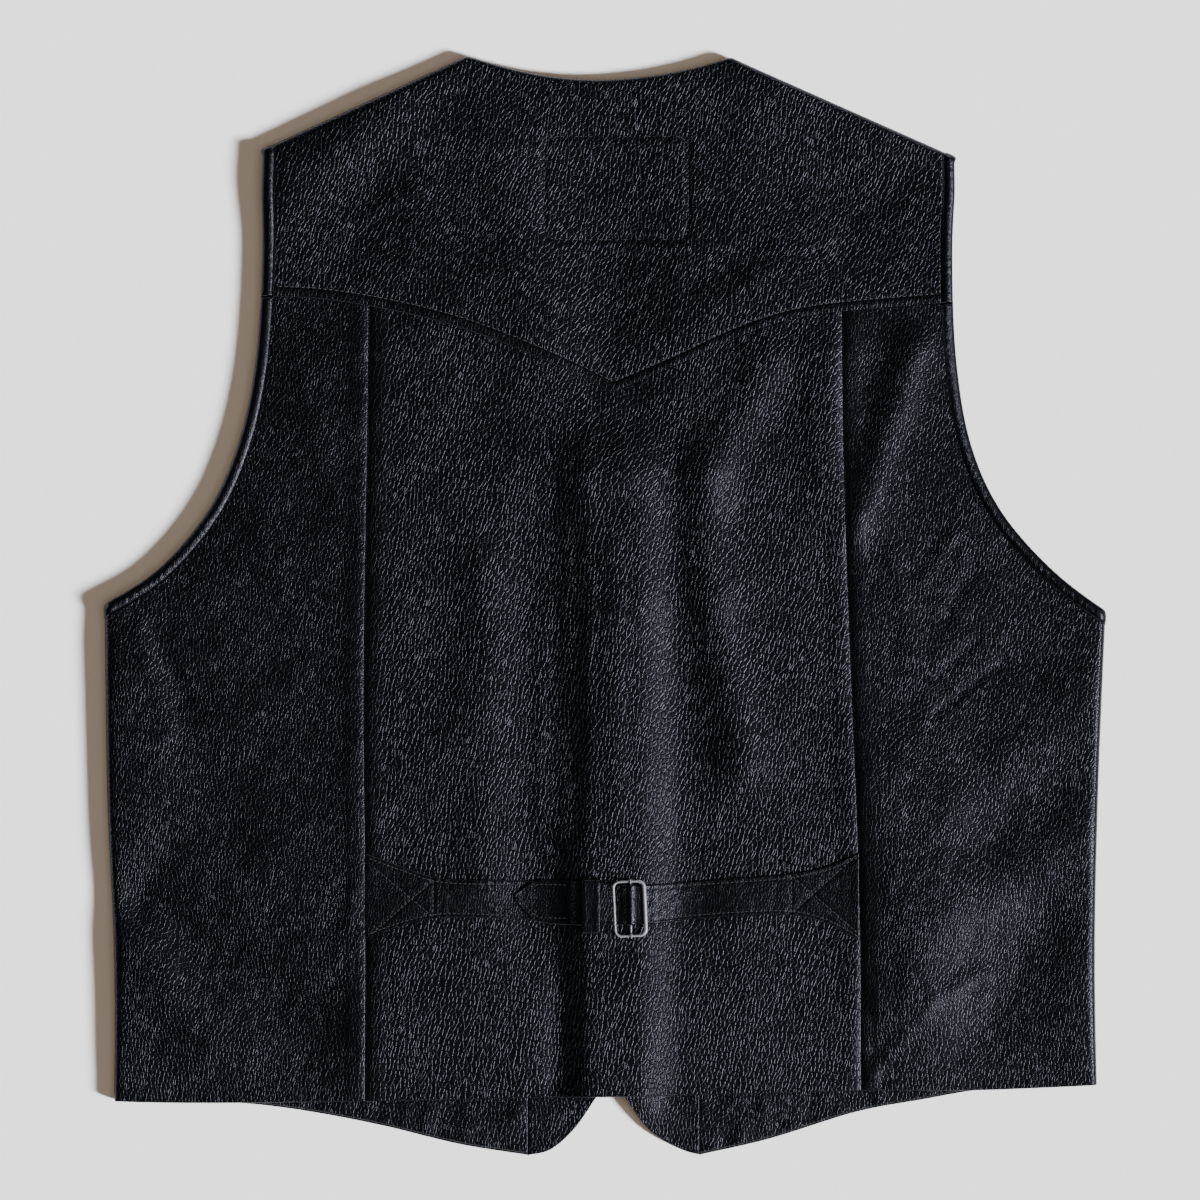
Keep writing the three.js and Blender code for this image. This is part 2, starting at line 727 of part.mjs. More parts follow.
// The plane of a front: its hem and cutaway, its side seam and armhole, its opening and shoulder
function frontPlane(side) {
  const hem = Path.through(FRONT_HEM[side]);
  const cutaway = Path.through(CUTAWAY[side]);
  const neckEnd = shoulderSeam(NECK_END[side]);
  const straight = [OPENING[side].at(-1), V_NECK[side][0]];
  const opening = Path.through(OPENING[side], straight, [...V_NECK[side], { x: neckEnd.x, y: neckEnd.y }]);
  const inner = frontArmhole(side, BAND + GAP);
  const low = FRONT_HEM[side][0].y;
  const high = inner.at(0).y;
  const hemFrom = hem.reach("x", frontSeamX(side, low));
  const plane = patch({
    bottom: (u) => {
      if (u < FACING_FROM) return hem.at(lerp(hemFrom, 1, u / FACING_FROM));
      return cutaway.at((u - FACING_FROM) / (1 - FACING_FROM));
    },
    top: (u) => shoulderSeam(lerp(armhole[side].at(1).x - outward[side] * (BAND + GAP), NECK_END[side], u)),
    start: (v) => {
      if (v > UNDERARM) return inner.at((v - UNDERARM) / (1 - UNDERARM));
      const y = lerp(low, high, v / UNDERARM);
      return new THREE.Vector2(frontSeamX(side, y), y);
    },
    end: (v) => opening.at(v),
  });
  // Near the hem the facing's seam runs straight up from the point
  return (u, v) => {
    const point = plane(u, v);
    const seam = plane(FACING_FROM, v);
    const beside = u < FACING_FROM ? u / FACING_FROM : (1 - u) / (1 - FACING_FROM);
    const upright = 1 - between(UPRIGHT_TO, UPRIGHT_TO + 45, seam.y);
    point.x += beside * upright * (plane(FACING_FROM, 0).x - seam.x);
    return point;
  };
}

function front(side) {
  const plane = frontPlane(side);
  const flip = side === "right";
  const facing = { over: LINER / 2, under: LINER / 2, flip };
  const onPanel = (u, v) => onFront(side, plane(u, v));
  // The facings follow the points of the front, moved up on it
  const above = (u, v) => onPanel(u, v).add(new THREE.Vector3(0, 0, (LEATHER + LINER) / 2 + GAP));
  add(`front_${side}`, wall({ columns: FRONT_COLUMNS, rows: FRONT_ROWS, point: onPanel, ...half, flip }));
  const seamGap = 0.0012; // of the front's width
  const facingColumns = FRONT_COLUMNS.filter((u) => u >= FACING_FROM);
  const facingWall = { columns: facingColumns, rows: FRONT_ROWS, point: above, ...facing };
  add(`front_facing_${side}`, wall(facingWall));
  const hemColumns = [...FRONT_COLUMNS.filter((u) => u < FACING_FROM), FACING_FROM - seamGap];
  const hemRows = FRONT_ROWS.slice(0, HEM_FACING_ROWS + 1);
  add(`hem_facing_${side}`, wall({ columns: hemColumns, rows: hemRows, point: above, ...facing }));
}

// The cinch strap: its edges across the back, and its height above the back's leather
const STRAP_EDGES = {
  left: [
    { x: -133.6, low: -186.6, high: -139 },
    { x: -115.1, low: -179.9, high: -145.7 },
    { x: -94.4, low: -175.2, high: -152.3 },
    { x: -48, low: -176, high: -154.1 },
    { x: 18, low: -178.9, high: -157.3 },
  ],
  right: [
    { x: 141.7, low: -187.7, high: -138.5 },
    { x: 122.9, low: -177.7, high: -146.3 },
    { x: 103.3, low: -173.4, high: -150.2 },
    { x: 52.9, low: -175.4, high: -154.1 },
    { x: 23.2, low: -178.2, high: -156.4 },
    { x: -38, low: -177, high: -154 },
    { x: -43, low: -173.5, high: -155.8 },
    { x: -51, low: -164.6, high: -161.8 },
  ],
};
const FLAT_ON_BACK = CLEAR + STRAP / 2;
// The buckle's centre bar, its frame round it, and the leather ring beside them that holds the tongue
const BAR = { x: 14.2, y: -169.5, height: 2.95, radius: 0.6, room: 0.25 };
const FRAME = {
  x: 13.6,
  x1: -9.4,
  x2: 9.4,
  y1: -15.9,
  y2: 15.9,
  corner: 4.2,
  wire: 1.4,
  bar: 2.1,
  height: 4.45,
  tilt: 0.045,
};
const KEEPER = { x: -13.1, wide: 10, low: -182.6, high: -154.2, wall: 0.9, base: 1.3, top: 4.8 };
const LOOP_RADIUS = BAR.radius + BAR.room + STRAP / 2;
const STRAP_ROUTE = {
  left: [
    { x: -133.6, height: FLAT_ON_BACK },
    { x: -70, height: FLAT_ON_BACK },
    { x: -19.5, height: FLAT_ON_BACK },
    { x: -14.5, height: 2.2 },
    { x: -2, height: 2.2 },
    { x: 3, height: 1.1 },
    { x: BAR.x, height: BAR.height - LOOP_RADIUS },
  ],
  right: [
    { x: 141.7, height: FLAT_ON_BACK },
    { x: 100, height: FLAT_ON_BACK },
    { x: 60, height: FLAT_ON_BACK },
    { x: 26, height: FLAT_ON_BACK },
    { x: 22, height: 1.4 },
    { x: 18.6, height: 3.4 },
    { x: 16.2, height: 5.1 },
    { x: 14.2, height: 5.85 },
    { x: 12.2, height: 5.3 },
    { x: 9, height: 3.8 },
    { x: 6, height: 2.85 },
    { x: 3, height: 2.8 },
    { x: -1, height: 3.9 },
    { x: -15, height: 3.9 },
    { x: -20, height: 2.85 },
    { x: -34, height: 2.6 },
    { x: -51, height: 2.55 },
  ],
};

function backTop(x, y) {
  return backHeight(x, y) + LEATHER / 2;
}

function strap(side, route, columns) {
  const edges = STRAP_EDGES[side];
  const low = Path.through(edges.map(({ x, low: y }) => ({ x, y })));
  const high = Path.through(edges.map(({ x, high: y }) => ({ x, y })));
  const point = (u, v) => {
    const { x, y: height } = route.at(u);
    const y = lerp(heightAlong(low, x), heightAlong(high, x), v);
    return new THREE.Vector3(x, y, backTop(x, y) + height);
  };
  const geometry = wall({
    columns,
    rows: evenly(2),
    point,
    over: STRAP / 2,
    under: STRAP / 2,
    flip: side === "right",
  });
  add(`strap_${side}`, geometry);
}

function straps() {
  const asPoint = ({ x, height }) => ({ x, y: height });
  // The left part wraps round the centre bar and ends in a short tail above itself
  const loop = evenly(8, -Math.PI / 2, (Math.PI * 5) / 8).map((angle) => ({
    x: BAR.x + LOOP_RADIUS * Math.cos(angle),
    y: BAR.height + LOOP_RADIUS * Math.sin(angle),
  }));
  const tail = { x: BAR.x - 3.6, y: BAR.height + 0.3 };
  const left = Path.through(STRAP_ROUTE.left.map(asPoint), [...loop, tail]);
  const right = Path.through(STRAP_ROUTE.right.map(asPoint));
  const bend = { left: left.reach("x", 12), right: right.reach("x", 26), tongue: right.reach("x", -22) };
  const keeperFrom = left.reach("x", -24);
  strap("left", left, [
    ...evenly(14, 0, keeperFrom),
    ...evenly(18, keeperFrom, bend.left).slice(1),
    ...evenly(12, bend.left, 1).slice(1),
  ]);
  strap("right", right, [
    ...evenly(14, 0, bend.right),
    ...evenly(30, bend.right, bend.tongue).slice(1),
    ...evenly(8, bend.tongue, 1).slice(1),
  ]);
}

function keeper() {
  const { x, wide, low, high, wall: thick, base, top } = KEEPER;
  const shape = roundedRectangle(low - thick, base - thick, high + thick, top + thick, 1.2);
  shape.holes.push(roundedRectangle(low, base, high, top, 0.4));
  const extrusion = { depth: wide, bevelEnabled: false, curveSegments: 3 };
  const geometry = new THREE.ExtrudeGeometry(shape, extrusion);
  // The outline's x and y become y and z
  geometry.applyMatrix4(new THREE.Matrix4().set(0, 0, 1, 0, 1, 0, 0, 0, 0, 1, 0, 0, 0, 0, 0, 1));
  const mesh = add("keeper", geometry);
  mesh.position.set(x, 0, backTop(x + wide, (low + high) / 2));
}

function roundedRectangle(x1, y1, x2, y2, radius) {
  const shape = new THREE.Shape();
  shape.moveTo(x1 + radius, y1);
  shape.lineTo(x2 - radius, y1);
  shape.absarc(x2 - radius, y1 + radius, radius, -Math.PI / 2, 0, false);
  shape.lineTo(x2, y2 - radius);
  shape.absarc(x2 - radius, y2 - radius, radius, 0, Math.PI / 2, false);
  shape.lineTo(x1 + radius, y2);
  shape.absarc(x1 + radius, y2 - radius, radius, Math.PI / 2, Math.PI, false);
  shape.lineTo(x1, y1 + radius);
  shape.absarc(x1 + radius, y1 + radius, radius, Math.PI, Math.PI * 1.5, false);
  return shape;
}

// A wire frame with a thicker right bar, which the strap's right part passes under, over and under
function buckle() {
  const bevel = 0.35;
  const { x1, x2, y1, y2, corner, wire } = FRAME;
  const outline = roundedRectangle(x1 + bevel, y1 + bevel, x2 - bevel, y2 - bevel, corner);
  const hole = roundedRectangle(
    x1 + wire - bevel,
    y1 + wire - bevel,
    x2 - FRAME.bar + bevel,
    y2 - wire + bevel,
    corner - wire,
  );
  outline.holes.push(hole);
  const geometry = new THREE.ExtrudeGeometry(outline, {
    depth: wire - 2 * bevel,
    bevelThickness: bevel,
    bevelSize: bevel,
    bevelSegments: 1,
    curveSegments: 5,
  });
  geometry.translate(0, 0, bevel - wire / 2);
  const mesh = add("buckle_frame", geometry, GREY_METAL);
  const ground = backTop(BAR.x, BAR.y);
  mesh.position.set(FRAME.x, BAR.y, ground + FRAME.height);
  mesh.rotation.z = FRAME.tilt;
  const rod = new THREE.CylinderGeometry(BAR.radius, BAR.radius, 2 * (y2 - wire - GAP), 10);
  const bar = add("buckle_bar", rod, GREY_METAL);
  bar.position.set(BAR.x, BAR.y, ground + BAR.height);
}

for (const side of sides) {
  front(side);
  bandOnFront(side);
  backSide(side);
  bandOnSide(side);
  bandOnYoke(side);
}
backCentre();
backYoke();
straps();
keeper();
buckle();

// The origin goes to the middle of the outline
const box = new THREE.Box3().setFromObject(vest);
const middle = box.getCenter(new THREE.Vector3());
vest.position.set(-middle.x, -middle.y, -box.min.z);

export default vest;
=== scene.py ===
"""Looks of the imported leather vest, which lies flat on its fronts with the back up.

The outlines and folds are the source's own, in millimetres in its tables' plane, so that each shell
lies where its solid does. Blender's units are metres, and MIDDLE moves the tables to the frame.
"""

import bpy
import numpy as np
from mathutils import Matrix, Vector


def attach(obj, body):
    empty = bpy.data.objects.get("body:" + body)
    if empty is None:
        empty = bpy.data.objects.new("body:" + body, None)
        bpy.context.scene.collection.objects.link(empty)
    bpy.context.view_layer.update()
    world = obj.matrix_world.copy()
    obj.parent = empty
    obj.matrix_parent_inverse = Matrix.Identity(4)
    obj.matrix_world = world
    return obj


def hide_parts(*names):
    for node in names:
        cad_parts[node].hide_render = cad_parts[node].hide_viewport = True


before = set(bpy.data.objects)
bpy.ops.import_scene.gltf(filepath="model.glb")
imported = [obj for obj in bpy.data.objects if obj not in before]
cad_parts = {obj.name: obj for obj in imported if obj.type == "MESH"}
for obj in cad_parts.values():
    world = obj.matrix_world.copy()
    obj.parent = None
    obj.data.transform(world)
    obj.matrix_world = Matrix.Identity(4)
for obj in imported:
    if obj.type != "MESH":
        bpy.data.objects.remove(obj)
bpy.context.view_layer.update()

MM = 0.001
MIDDLE = np.array([-0.228, -0.537, 0.0])  # middle of the outline in the tables' plane

# Sizes of the solids, in millimetres
LEATHER = 1.4
LINER = 1.2
STRAP = 1.1
GAP = 0.3
CLEAR = 0.55
BACK_LIE = 4.9
LAP = 9
LAP_CLEAR = 0.2
YOKE_CORNER_X = 190
TURN = 12
SIDE_TURN = 15
NECK_RADIUS = 1
BAND = 7
BAND_OVER = 1.2
UNDER_BAND = 0.3  # how far the back's edge goes in under its band
BAND_CLEAR = 0.05  # between a front and its band
LINER_CLEAR = 0.1  # between a front and its facings
# Radius of the rounded edges
ROUND = {"back": 0.6, "front": 0.8, "band": 1.1, "keeper": 0.55}

OUT = {"left": -1, "right": 1}

# Outlines of the back: x and y
SIDE_FOLD = {
    "left": [(-274.9, -290), (-274.8, -199), (-278.6, -109), (-280.3, 10)],
    "right": [(275.3, -290), (273.8, -199), (275.5, -109), (280.3, 10)],
}
HEM = {
    "left": [(-301, -277), (-240, -278.7), (-134.4, -277.9)],
    "middle": [(-134.4, -277.9), (-44, -275.9), (47, -274.3), (143.1, -271.8)],
    "right": [(301, -267.6), (210, -271.6), (143.1, -271.8)],
}
BACK_SEAM = {
    "left": [(-134.4, -277.9), (-134.1, -165), (-135.1, -45), (-133, 98), (-132.2, 176)],
    "right": [(143.1, -271.8), (142.2, -165), (138, -53), (133.6, 70), (132.2, 173)],
}
ARMHOLE = {
    "left": [
        (-301, -7), (-291, -5.5), (-280.8, 0), (-250.6, 19.5), (-222, 53),
        (-206.4, 87), (-196.3, 131), (-191.8, 198), (-193.2, 254.1),
    ],
    "right": [
        (301, -11), (291, -9.5), (280.8, -4), (250, 19.5), (220.9, 53),
        (205.2, 87), (196.8, 131), (194, 198), (196.6, 250),
    ],
}
YOKE_SEAM = {
    "left": [(-200, 172.5), (-154, 170.1), (-88, 156.7), (-29, 134.3), (4.2, 118.3)],
    "right": [(4.2, 118.3), (42, 134.3), (76, 149.9), (109, 160), (200, 169.2)],
}
NECK = [
    (-77.5, 307), (-55.7, 300.6), (-31, 295.5), (-2, 293.6),
    (28, 296.1), (53, 301.1), (70, 306.3),
]

# Outlines of the fronts
FRONT_ARMHOLE = {
    "left": [(-246, -6.5), (-226, 8), (-206, 40), (-190, 84), (-181, 132), (-179, 185)],
    "right": [(246, -9.5), (226, 8), (206, 40), (190, 84), (182, 132), (181, 185)],
}
FRONT_HEM = {
    "left": [
        (-262, -277.3), (-204.7, -279), (-171, -282.9), (-126, -291.3), (-81.5, -302),
        (-43.4, -308.1),
    ],
    "right": [
        (262, -268), (209.7, -271.7), (176.7, -277.3), (142.5, -283.5), (90, -299.5),
        (52.9, -307.9),
    ],
}
CUTAWAY = {
    "left": [(-43.4, -308.1), (-31.6, -305.3), (-18.2, -294.1), (-4.8, -275.1)],
    "right": [(52.9, -307.9), (43.4, -305.3), (25, -294.5), (10.9, -275.7)],
}
OPENING = {
    "left": [(-4.8, -275.1), (9.2, -238), (15, -190)],
    "right": [(10.9, -275.7), (-3.1, -238.1), (-8.5, -190)],
}
V_NECK = {"left": [(15, 20), (-34, 152)], "right": [(-8.5, 20), (36, 152)]}
NECK_END = {"left": -86, "right": 82}
FACING_FROM = 0.785
UPRIGHT_TO = -262
HEM_FACING_TO = 0.08
UNDERARM = 0.5

# Main folds of the back, as in the solids: ends of the line, width and rise
FOLDS = [
    ("left of the opening", -41, 35, -41, -190, 15, -0.7),
    ("left of the opening, low", -25, -205, -25, -268, 9, -0.9),
    ("beside the left facing", -68, 25, -70, -150, 14, 0.8),
    ("right of the opening", 46, -10, 51, -165, 14, -0.7),
    ("upper right of the opening", 92, 138, 56, 72, 14, 1.3),
    ("beside the opening", 56, 72, 57, 10, 14, 1.5),
    ("beside the right facing", 60, -5, 76, -85, 14, 1.5),
    ("left edge of the V", -63, 250, -14, 78, 20, 0.9),
    ("inside the V", 2, 240, 3, 140, 34, -1.1),
    ("right armhole", 172, 143, 140, 45, 11, 1.5),
    ("right blade", 120, 140, 121, 50, 13, 1.1),
    ("right hip", 158, -95, 176, -210, 30, 2.0),
    ("right flank", 262, -128, 205, -158, 16, 0.9),
    ("right flank, upper", 262, -50, 200, -110, 18, 0.9),
    ("right hem", 243, -175, 213, -240, 18, -1.1),
    ("left flank", -258, -165, -165, -242, 20, -1.2),
    ("left hip", -262, -190, -225, -245, 18, 1.0),
    ("left side", -266, -28, -250, -90, 16, 0.9),
    ("left shoulder", -180, 230, -122, 276, 20, 1.3),
    ("right shoulder", 112, 235, 150, 205, 24, -0.9),
]
OVERLAP_RISE = 2.4
SIDE_RISE = 1.2
SHOULDER_RISE = 0.8
HEM_SAG = 0.8
EDGE_REACH = 26

# Finer creases of the back, which only the looks have
CREASES = [
    ("left of the fronts' overlap", -15, 44, -18, -130, 5, -0.5),
    ("right of the fronts' overlap", 5, 34, 6, -110, 7, 0.45),
    ("beside the left facing, fine", -36, -5, -37, -118, 4, 0.25),
    ("right underarm upper", 186, -39.5, 209, -18, 2.2, -0.35),
    ("right underarm lower", 184.5, -61, 223, -31, 2.4, -0.4),
    ("right armhole fan 1", 196, 40, 176, 12, 4, 0.35),
    ("right armhole fan 2", 206, 22, 190, -8, 4, -0.3),
    ("right hem curve", 150, -262, 182, -222, 5, 0.4),
    ("right hem curve upper", 182, -222, 210, -206, 5, 0.35),
    ("right seam tuck", 150, -250, 146, -218, 4, -0.3),
    ("left underarm", -262, -14, -244, -70, 4.5, 0.4),
    ("left underarm inner", -252, -12, -236, -52, 3.5, -0.3),
    ("left flank line", -262, -150, -214, -186, 4, 0.3),
    ("left seam pull", -150, -200, -141, -160, 4, 0.3),
    ("left blade", -170, 120, -150, 60, 6, 0.3),
    ("left blade lower", -196, 40, -168, -20, 7, 0.25),
    ("right blade lower", 160, 30, 172, -30, 6, 0.3),
    ("yoke left crease", -150, 210, -100, 236, 5, 0.25),
    ("yoke pull right", 60, 170, 92, 186, 6, 0.35),
    ("yoke pull right upper", 48, 180, 84, 200, 6, -0.25),
    ("under the tip", 4, 112, 10, 70, 7, 0.3),
    ("right hip, down to the hem", 186, -178, 158, -228, 16, 0.6),
    ("right hip, out to the side", 196, -176, 244, -154, 12, 0.5),
    ("right hip, upward", 186, -168, 192, -84, 14, 0.45),
    ("left flank, lower side", -262, -167, -168, -224, 15, -0.55),
    ("left hip, bright patch", -252, -190, -246, -222, 12, 0.45),
]


def between(low, high, value):
    """A smooth step from 0 at low to 1 at high."""
    part = np.clip((np.asarray(value, float) - low) / (high - low), 0, 1)
    return part * part * (3 - 2 * part)


def lerp(a, b, share):
    return a + (b - a) * share


def joined(*parts):
    """Points, or pairs of values, from their parts, which are spread to one shape."""
    return np.stack(np.broadcast_arrays(*parts), -1)


def catmull_rom(knots, count=24):
    """A centripetal curve through the knots, with count points to a span."""
    knots = np.asarray(knots, float)
    ends = 2 * knots[0] - knots[1], 2 * knots[-1] - knots[-2]
    padded = np.vstack([ends[0], knots, ends[1]])
    gaps = np.sqrt(np.linalg.norm(np.diff(padded, axis=0), axis=1))
    share = np.linspace(0, 1, count, endpoint=False)[:, None]
    points = []
    for i in range(1, len(knots)):
        a, b, c, d = padded[i - 1 : i + 3]
        ab, bc, cd = gaps[i - 1 : i + 2]
        leave = ((b - a) / ab - (c - a) / (ab + bc) + (c - b) / bc) * bc
        arrive = ((c - b) / bc - (d - b) / (bc + cd) + (d - c) / cd) * bc
        cubic = 2 * b - 2 * c + leave + arrive
        square = -3 * b + 3 * c - 2 * leave - arrive
        points.append(b + leave * share + square * share**2 + cubic * share**3)
    return np.vstack([*points, knots[-1]])


def from_straight(x, y, x1, y1, x2, y2):
    """How far points lie from the straight line between two ends."""
    square = max((x2 - x1) ** 2 + (y2 - y1) ** 2, 1e-9)
    share = np.clip(((x - x1) * (x2 - x1) + (y - y1) * (y2 - y1)) / square, 0, 1)
    return np.hypot(x - x1 - share * (x2 - x1), y - y1 - share * (y2 - y1))


class Path:
    """A line in the tables' plane, read by its share of the length."""

    def __init__(self, points):
        self.points = np.asarray(points, float)
        steps = np.linalg.norm(np.diff(self.points, axis=0), axis=1)
        self.lengths = np.concatenate([[0], np.cumsum(steps)])
        self.length = self.lengths[-1]

    @staticmethod
    def through(*tables):
        curves = [catmull_rom(table) for table in tables]
        return Path(np.vstack([curves[0], *(curve[1:] for curve in curves[1:])]))

    def at(self, share):
        goal = np.clip(share, 0, 1) * self.length
        return np.stack([np.interp(goal, self.lengths, self.points[:, k]) for k in (0, 1)], -1)

    def reach(self, axis, value):
        """The share at which a coordinate first comes to a value, or else the nearer end."""
        line = self.points[:, axis]
        way = 1 if line[-1] > line[0] else -1
        rising = np.maximum.accumulate(line * way)
        return np.interp(np.asarray(value, float) * way, rising, self.lengths) / self.length

    def height(self, x):
        """The line's y where it first comes to x."""
        return self.at(self.reach(0, x))[..., 1]

    def beside(self, distance):
        """The line moved sideways, to the right of its direction where the distance is positive."""
        before = np.vstack([self.points[:1], self.points[:-1]])
        after = np.vstack([self.points[1:], self.points[-1:]])
        along = after - before
        along /= np.linalg.norm(along, axis=1)[:, None]
        return Path(self.points + distance * joined(along[:, 1], -along[:, 0]))

    def distance(self, x, y):
        """How far points lie from the line."""
        least = np.full(np.shape(x), np.inf)
        for a, b in zip(self.points[:-1], self.points[1:]):
            least = np.minimum(least, from_straight(x, y, *a, *b))
        return least


def patch(u, v, bottom, top, start, end):
    """Points of a four-sided patch between boundary curves, for rows v and columns u."""
    low, high = bottom(np.array([0.0, 1.0])), top(np.array([0.0, 1.0]))
    across, along = u[None, :, None], v[:, None, None]
    points = bottom(u)[None] * (1 - along) + top(u)[None] * along
    points += start(v)[:, None] * (1 - across) + end(v)[:, None] * across
    points -= low[0] * (1 - across) * (1 - along) + low[1] * across * (1 - along)
    return points - high[0] * (1 - across) * along - high[1] * across * along


fold = {side: Path.through(SIDE_FOLD[side]) for side in OUT}
armhole = {side: Path.through(ARMHOLE[side]) for side in OUT}
seam = {side: Path.through(BACK_SEAM[side]) for side in OUT}
hem_line = Path.through(HEM["left"], HEM["middle"], HEM["right"][::-1])
yoke_seam = Path.through(YOKE_SEAM["left"], YOKE_SEAM["right"])
top_edge = Path.through([ARMHOLE["left"][-1], NECK[0]], NECK, [NECK[-1], ARMHOLE["right"][-1]])


def fold_x(side, y):
    return fold[side].at(fold[side].reach(1, np.clip(y, -289, 9)))[..., 0]


def seam_x(side, y):
    return seam[side].at(seam[side].reach(1, y))[..., 0]


def ridge(x, y, x1, y1, x2, y2, width):
    """A soft ridge of unit height along the line of a fold."""
    return np.exp(-((from_straight(x, y, x1, y1, x2, y2) / width) ** 2))


def raised_by(folds, x, y, start=0.0):
    """The height of a surface with the given folds."""
    z = np.full(np.broadcast(x, y).shape, float(start))
    for _, x1, y1, x2, y2, width, rise in folds:
        z += rise * ridge(x, y, x1, y1, x2, y2, width)
    return z


def near_edge(distance):
    return np.exp(-((np.maximum(distance, 0) / EDGE_REACH) ** 2))


def back_height(x, y):
    """Height of the middle of the back's leather, as in the solids."""
    x, y = np.asarray(x, float), np.asarray(y, float)
    z = raised_by(FOLDS, x, y, BACK_LIE)
    overlap = between(-30, -8, x) * (1 - between(16.5, 43, x)) * (1 - between(70, 108, y))
    z += OVERLAP_RISE * overlap
    to_side = np.minimum(x - fold_x("left", y), fold_x("right", y) - x)
    z += SIDE_RISE * near_edge(to_side) * (1 - between(0, 60, y))
    shoulder = between(60, 95, np.abs(x)) * (y > 200)
    z += SHOULDER_RISE * shoulder * near_edge(top_edge.height(x) - y)
    return z - HEM_SAG * near_edge(y - hem_line.height(x)) * (1 - 0.7 * overlap)


def roll_over(start, direction, radius, past):
    """Points that lie some way past the start of a roll, round it and back underneath."""
    turned = np.minimum(past / radius, np.pi)
    across = radius * np.sin(turned) - np.maximum(past - np.pi * radius, 0)
    return joined(
        start[..., 0] + direction[..., 0] * across,
        start[..., 1] + direction[..., 1] * across,
        start[..., 2] - radius * (1 - np.cos(turned)),
    )


def floor_radius(height):
    return (height - LEATHER / 2) / 2


def roll_start(side, y):
    edge = fold_x(side, y) - OUT[side] * LEATHER / 2
    radius = floor_radius(back_height(edge - OUT[side] * 3, y))
    return edge - OUT[side] * radius, radius


def on_side(side, plane, lift):
    """Points of a side back, rolled round the side fold; lift is the finer relief of the flat part."""
    x, y = plane[..., 0], plane[..., 1]
    start, radius = roll_start(side, y)
    past = OUT[side] * (x - start)
    base = joined(start, y, radius * 2 + LEATHER / 2)
    outward = np.broadcast_to([OUT[side], 0.0], (*x.shape, 2))
    rolled = roll_over(base, outward, radius, past)
    flat = joined(x, y, back_height(x, y) + lift)
    return np.where((past <= 0)[..., None], flat, rolled)


def side_seam_x(side, y):
    start, radius = roll_start(side, y)
    return start + OUT[side] * (np.pi * radius + SIDE_TURN)


def yoke_height(x, y):
    above = y - yoke_seam.height(x)
    raised = (LEATHER + GAP + LAP_CLEAR) * (1 - between(LAP + 1, LAP + 75, above))
    return back_height(x, y) + raised


ROLL_WINDOW = 24


def top_roll(x):
    """Where and in which direction the top edge rolls over."""
    share = top_edge.reach(0, x)
    window = ROLL_WINDOW / top_edge.length
    along = top_edge.at(np.minimum(share + window, 0.98)) - top_edge.at(np.maximum(share - window, 0.02))
    along /= np.linalg.norm(along, axis=-1)[..., None]
    direction = joined(-along[..., 1], along[..., 0])
    edge = top_edge.at(share) - direction * LEATHER / 2
    height = back_height(edge[..., 0], edge[..., 1] - 3)
    shoulder = between(66, 86, -np.asarray(x)) + between(60, 80, x)
    radius = lerp(NECK_RADIUS, floor_radius(height), shoulder)
    start = edge - direction * radius[..., None]
    return direction, radius, start, height


def round_top(x, row):
    """Points of the top edge: rows 1 to 2 are the roll, rows 2 to 3 the part turned under."""
    direction, radius, start, height = top_roll(x)
    length = np.pi * radius
    past = np.where(row < 2, (row - 1) * length, length + (row - 2) * TURN)
    return roll_over(np.concatenate([start, height[..., None]], -1), direction, radius, past)


def front_lift(side, x, y):
    if side == "left":
        return np.zeros(np.shape(x))
    across = 1 - between(18, 38, x)
    along = between(-306, -262, y) * (1 - between(62, 90, y))
    return (LEATHER + LINER + 2 * GAP) * across * along


def shoulder_seam(x):
    direction, _, start, _ = top_roll(x)
    return start - direction * (TURN + GAP)


def inside_armhole(side, distance):
    return armhole[side].beside(-OUT[side] * distance)


# Fine unevenness, as a sum of long soft waves with seeded directions
def waves(x, y, seed, shortest, longest, count=20):
    draw = np.random.default_rng(seed)
    total = np.zeros(np.shape(x))
    for _ in range(count):
        turn, length, phase = draw.uniform(0, np.pi), draw.uniform(shortest, longest), draw.uniform(0, 6.3)
        total += np.sin(2 * np.pi * (x * np.cos(turn) + y * np.sin(turn)) / length + phase)
    return total / np.sqrt(count)


def puckers(along, seed, spacing):
    """Small cross folds along a sewn line, uneven in spacing and height, between -1 and 1."""
    draw = np.random.default_rng(seed)
    total = np.zeros(np.shape(along))
    for _ in range(5):
        total += np.sin(2 * np.pi * along / (spacing * draw.uniform(0.7, 1.5)) + draw.uniform(0, 6.3))
    return total / 3


def trough(distance, width, depth):
    return -depth * np.exp(-((distance / width) ** 2))


SEAM_DIP = 0.25
STITCH_IN = 6  # yoke topstitch above the yoke's edge
LABEL = {"x1": -34.4, "x2": 46.2, "y1": 204.3, "y2": 261.9, "corner": 7}


def rounded_rectangle(x1, x2, y1, y2, corner, count=10):
    """A closed path, anticlockwise from the lower left corner."""
    turns = np.linspace(0, np.pi / 2, count)
    centres = [(x2 - corner, y1 + corner), (x2 - corner, y2 - corner),
               (x1 + corner, y2 - corner), (x1 + corner, y1 + corner)]
    points = []
    for quarter, (cx, cy) in enumerate(centres):
        angle = turns + (quarter - 1) * np.pi / 2
        points.append(joined(cx + corner * np.cos(angle), cy + corner * np.sin(angle)))
    points = np.vstack(points)
    return Path(np.vstack([points, points[:1]]))


label_line = rounded_rectangle(**LABEL)


def back_relief(x, y):
    """Finer relief of the whole back: long soft unevenness and creases."""
    return 0.08 * waves(x, y, 3, 30, 90) + 0.02 * waves(x, y, 8, 8, 18, 30) + raised_by(CREASES, x, y)


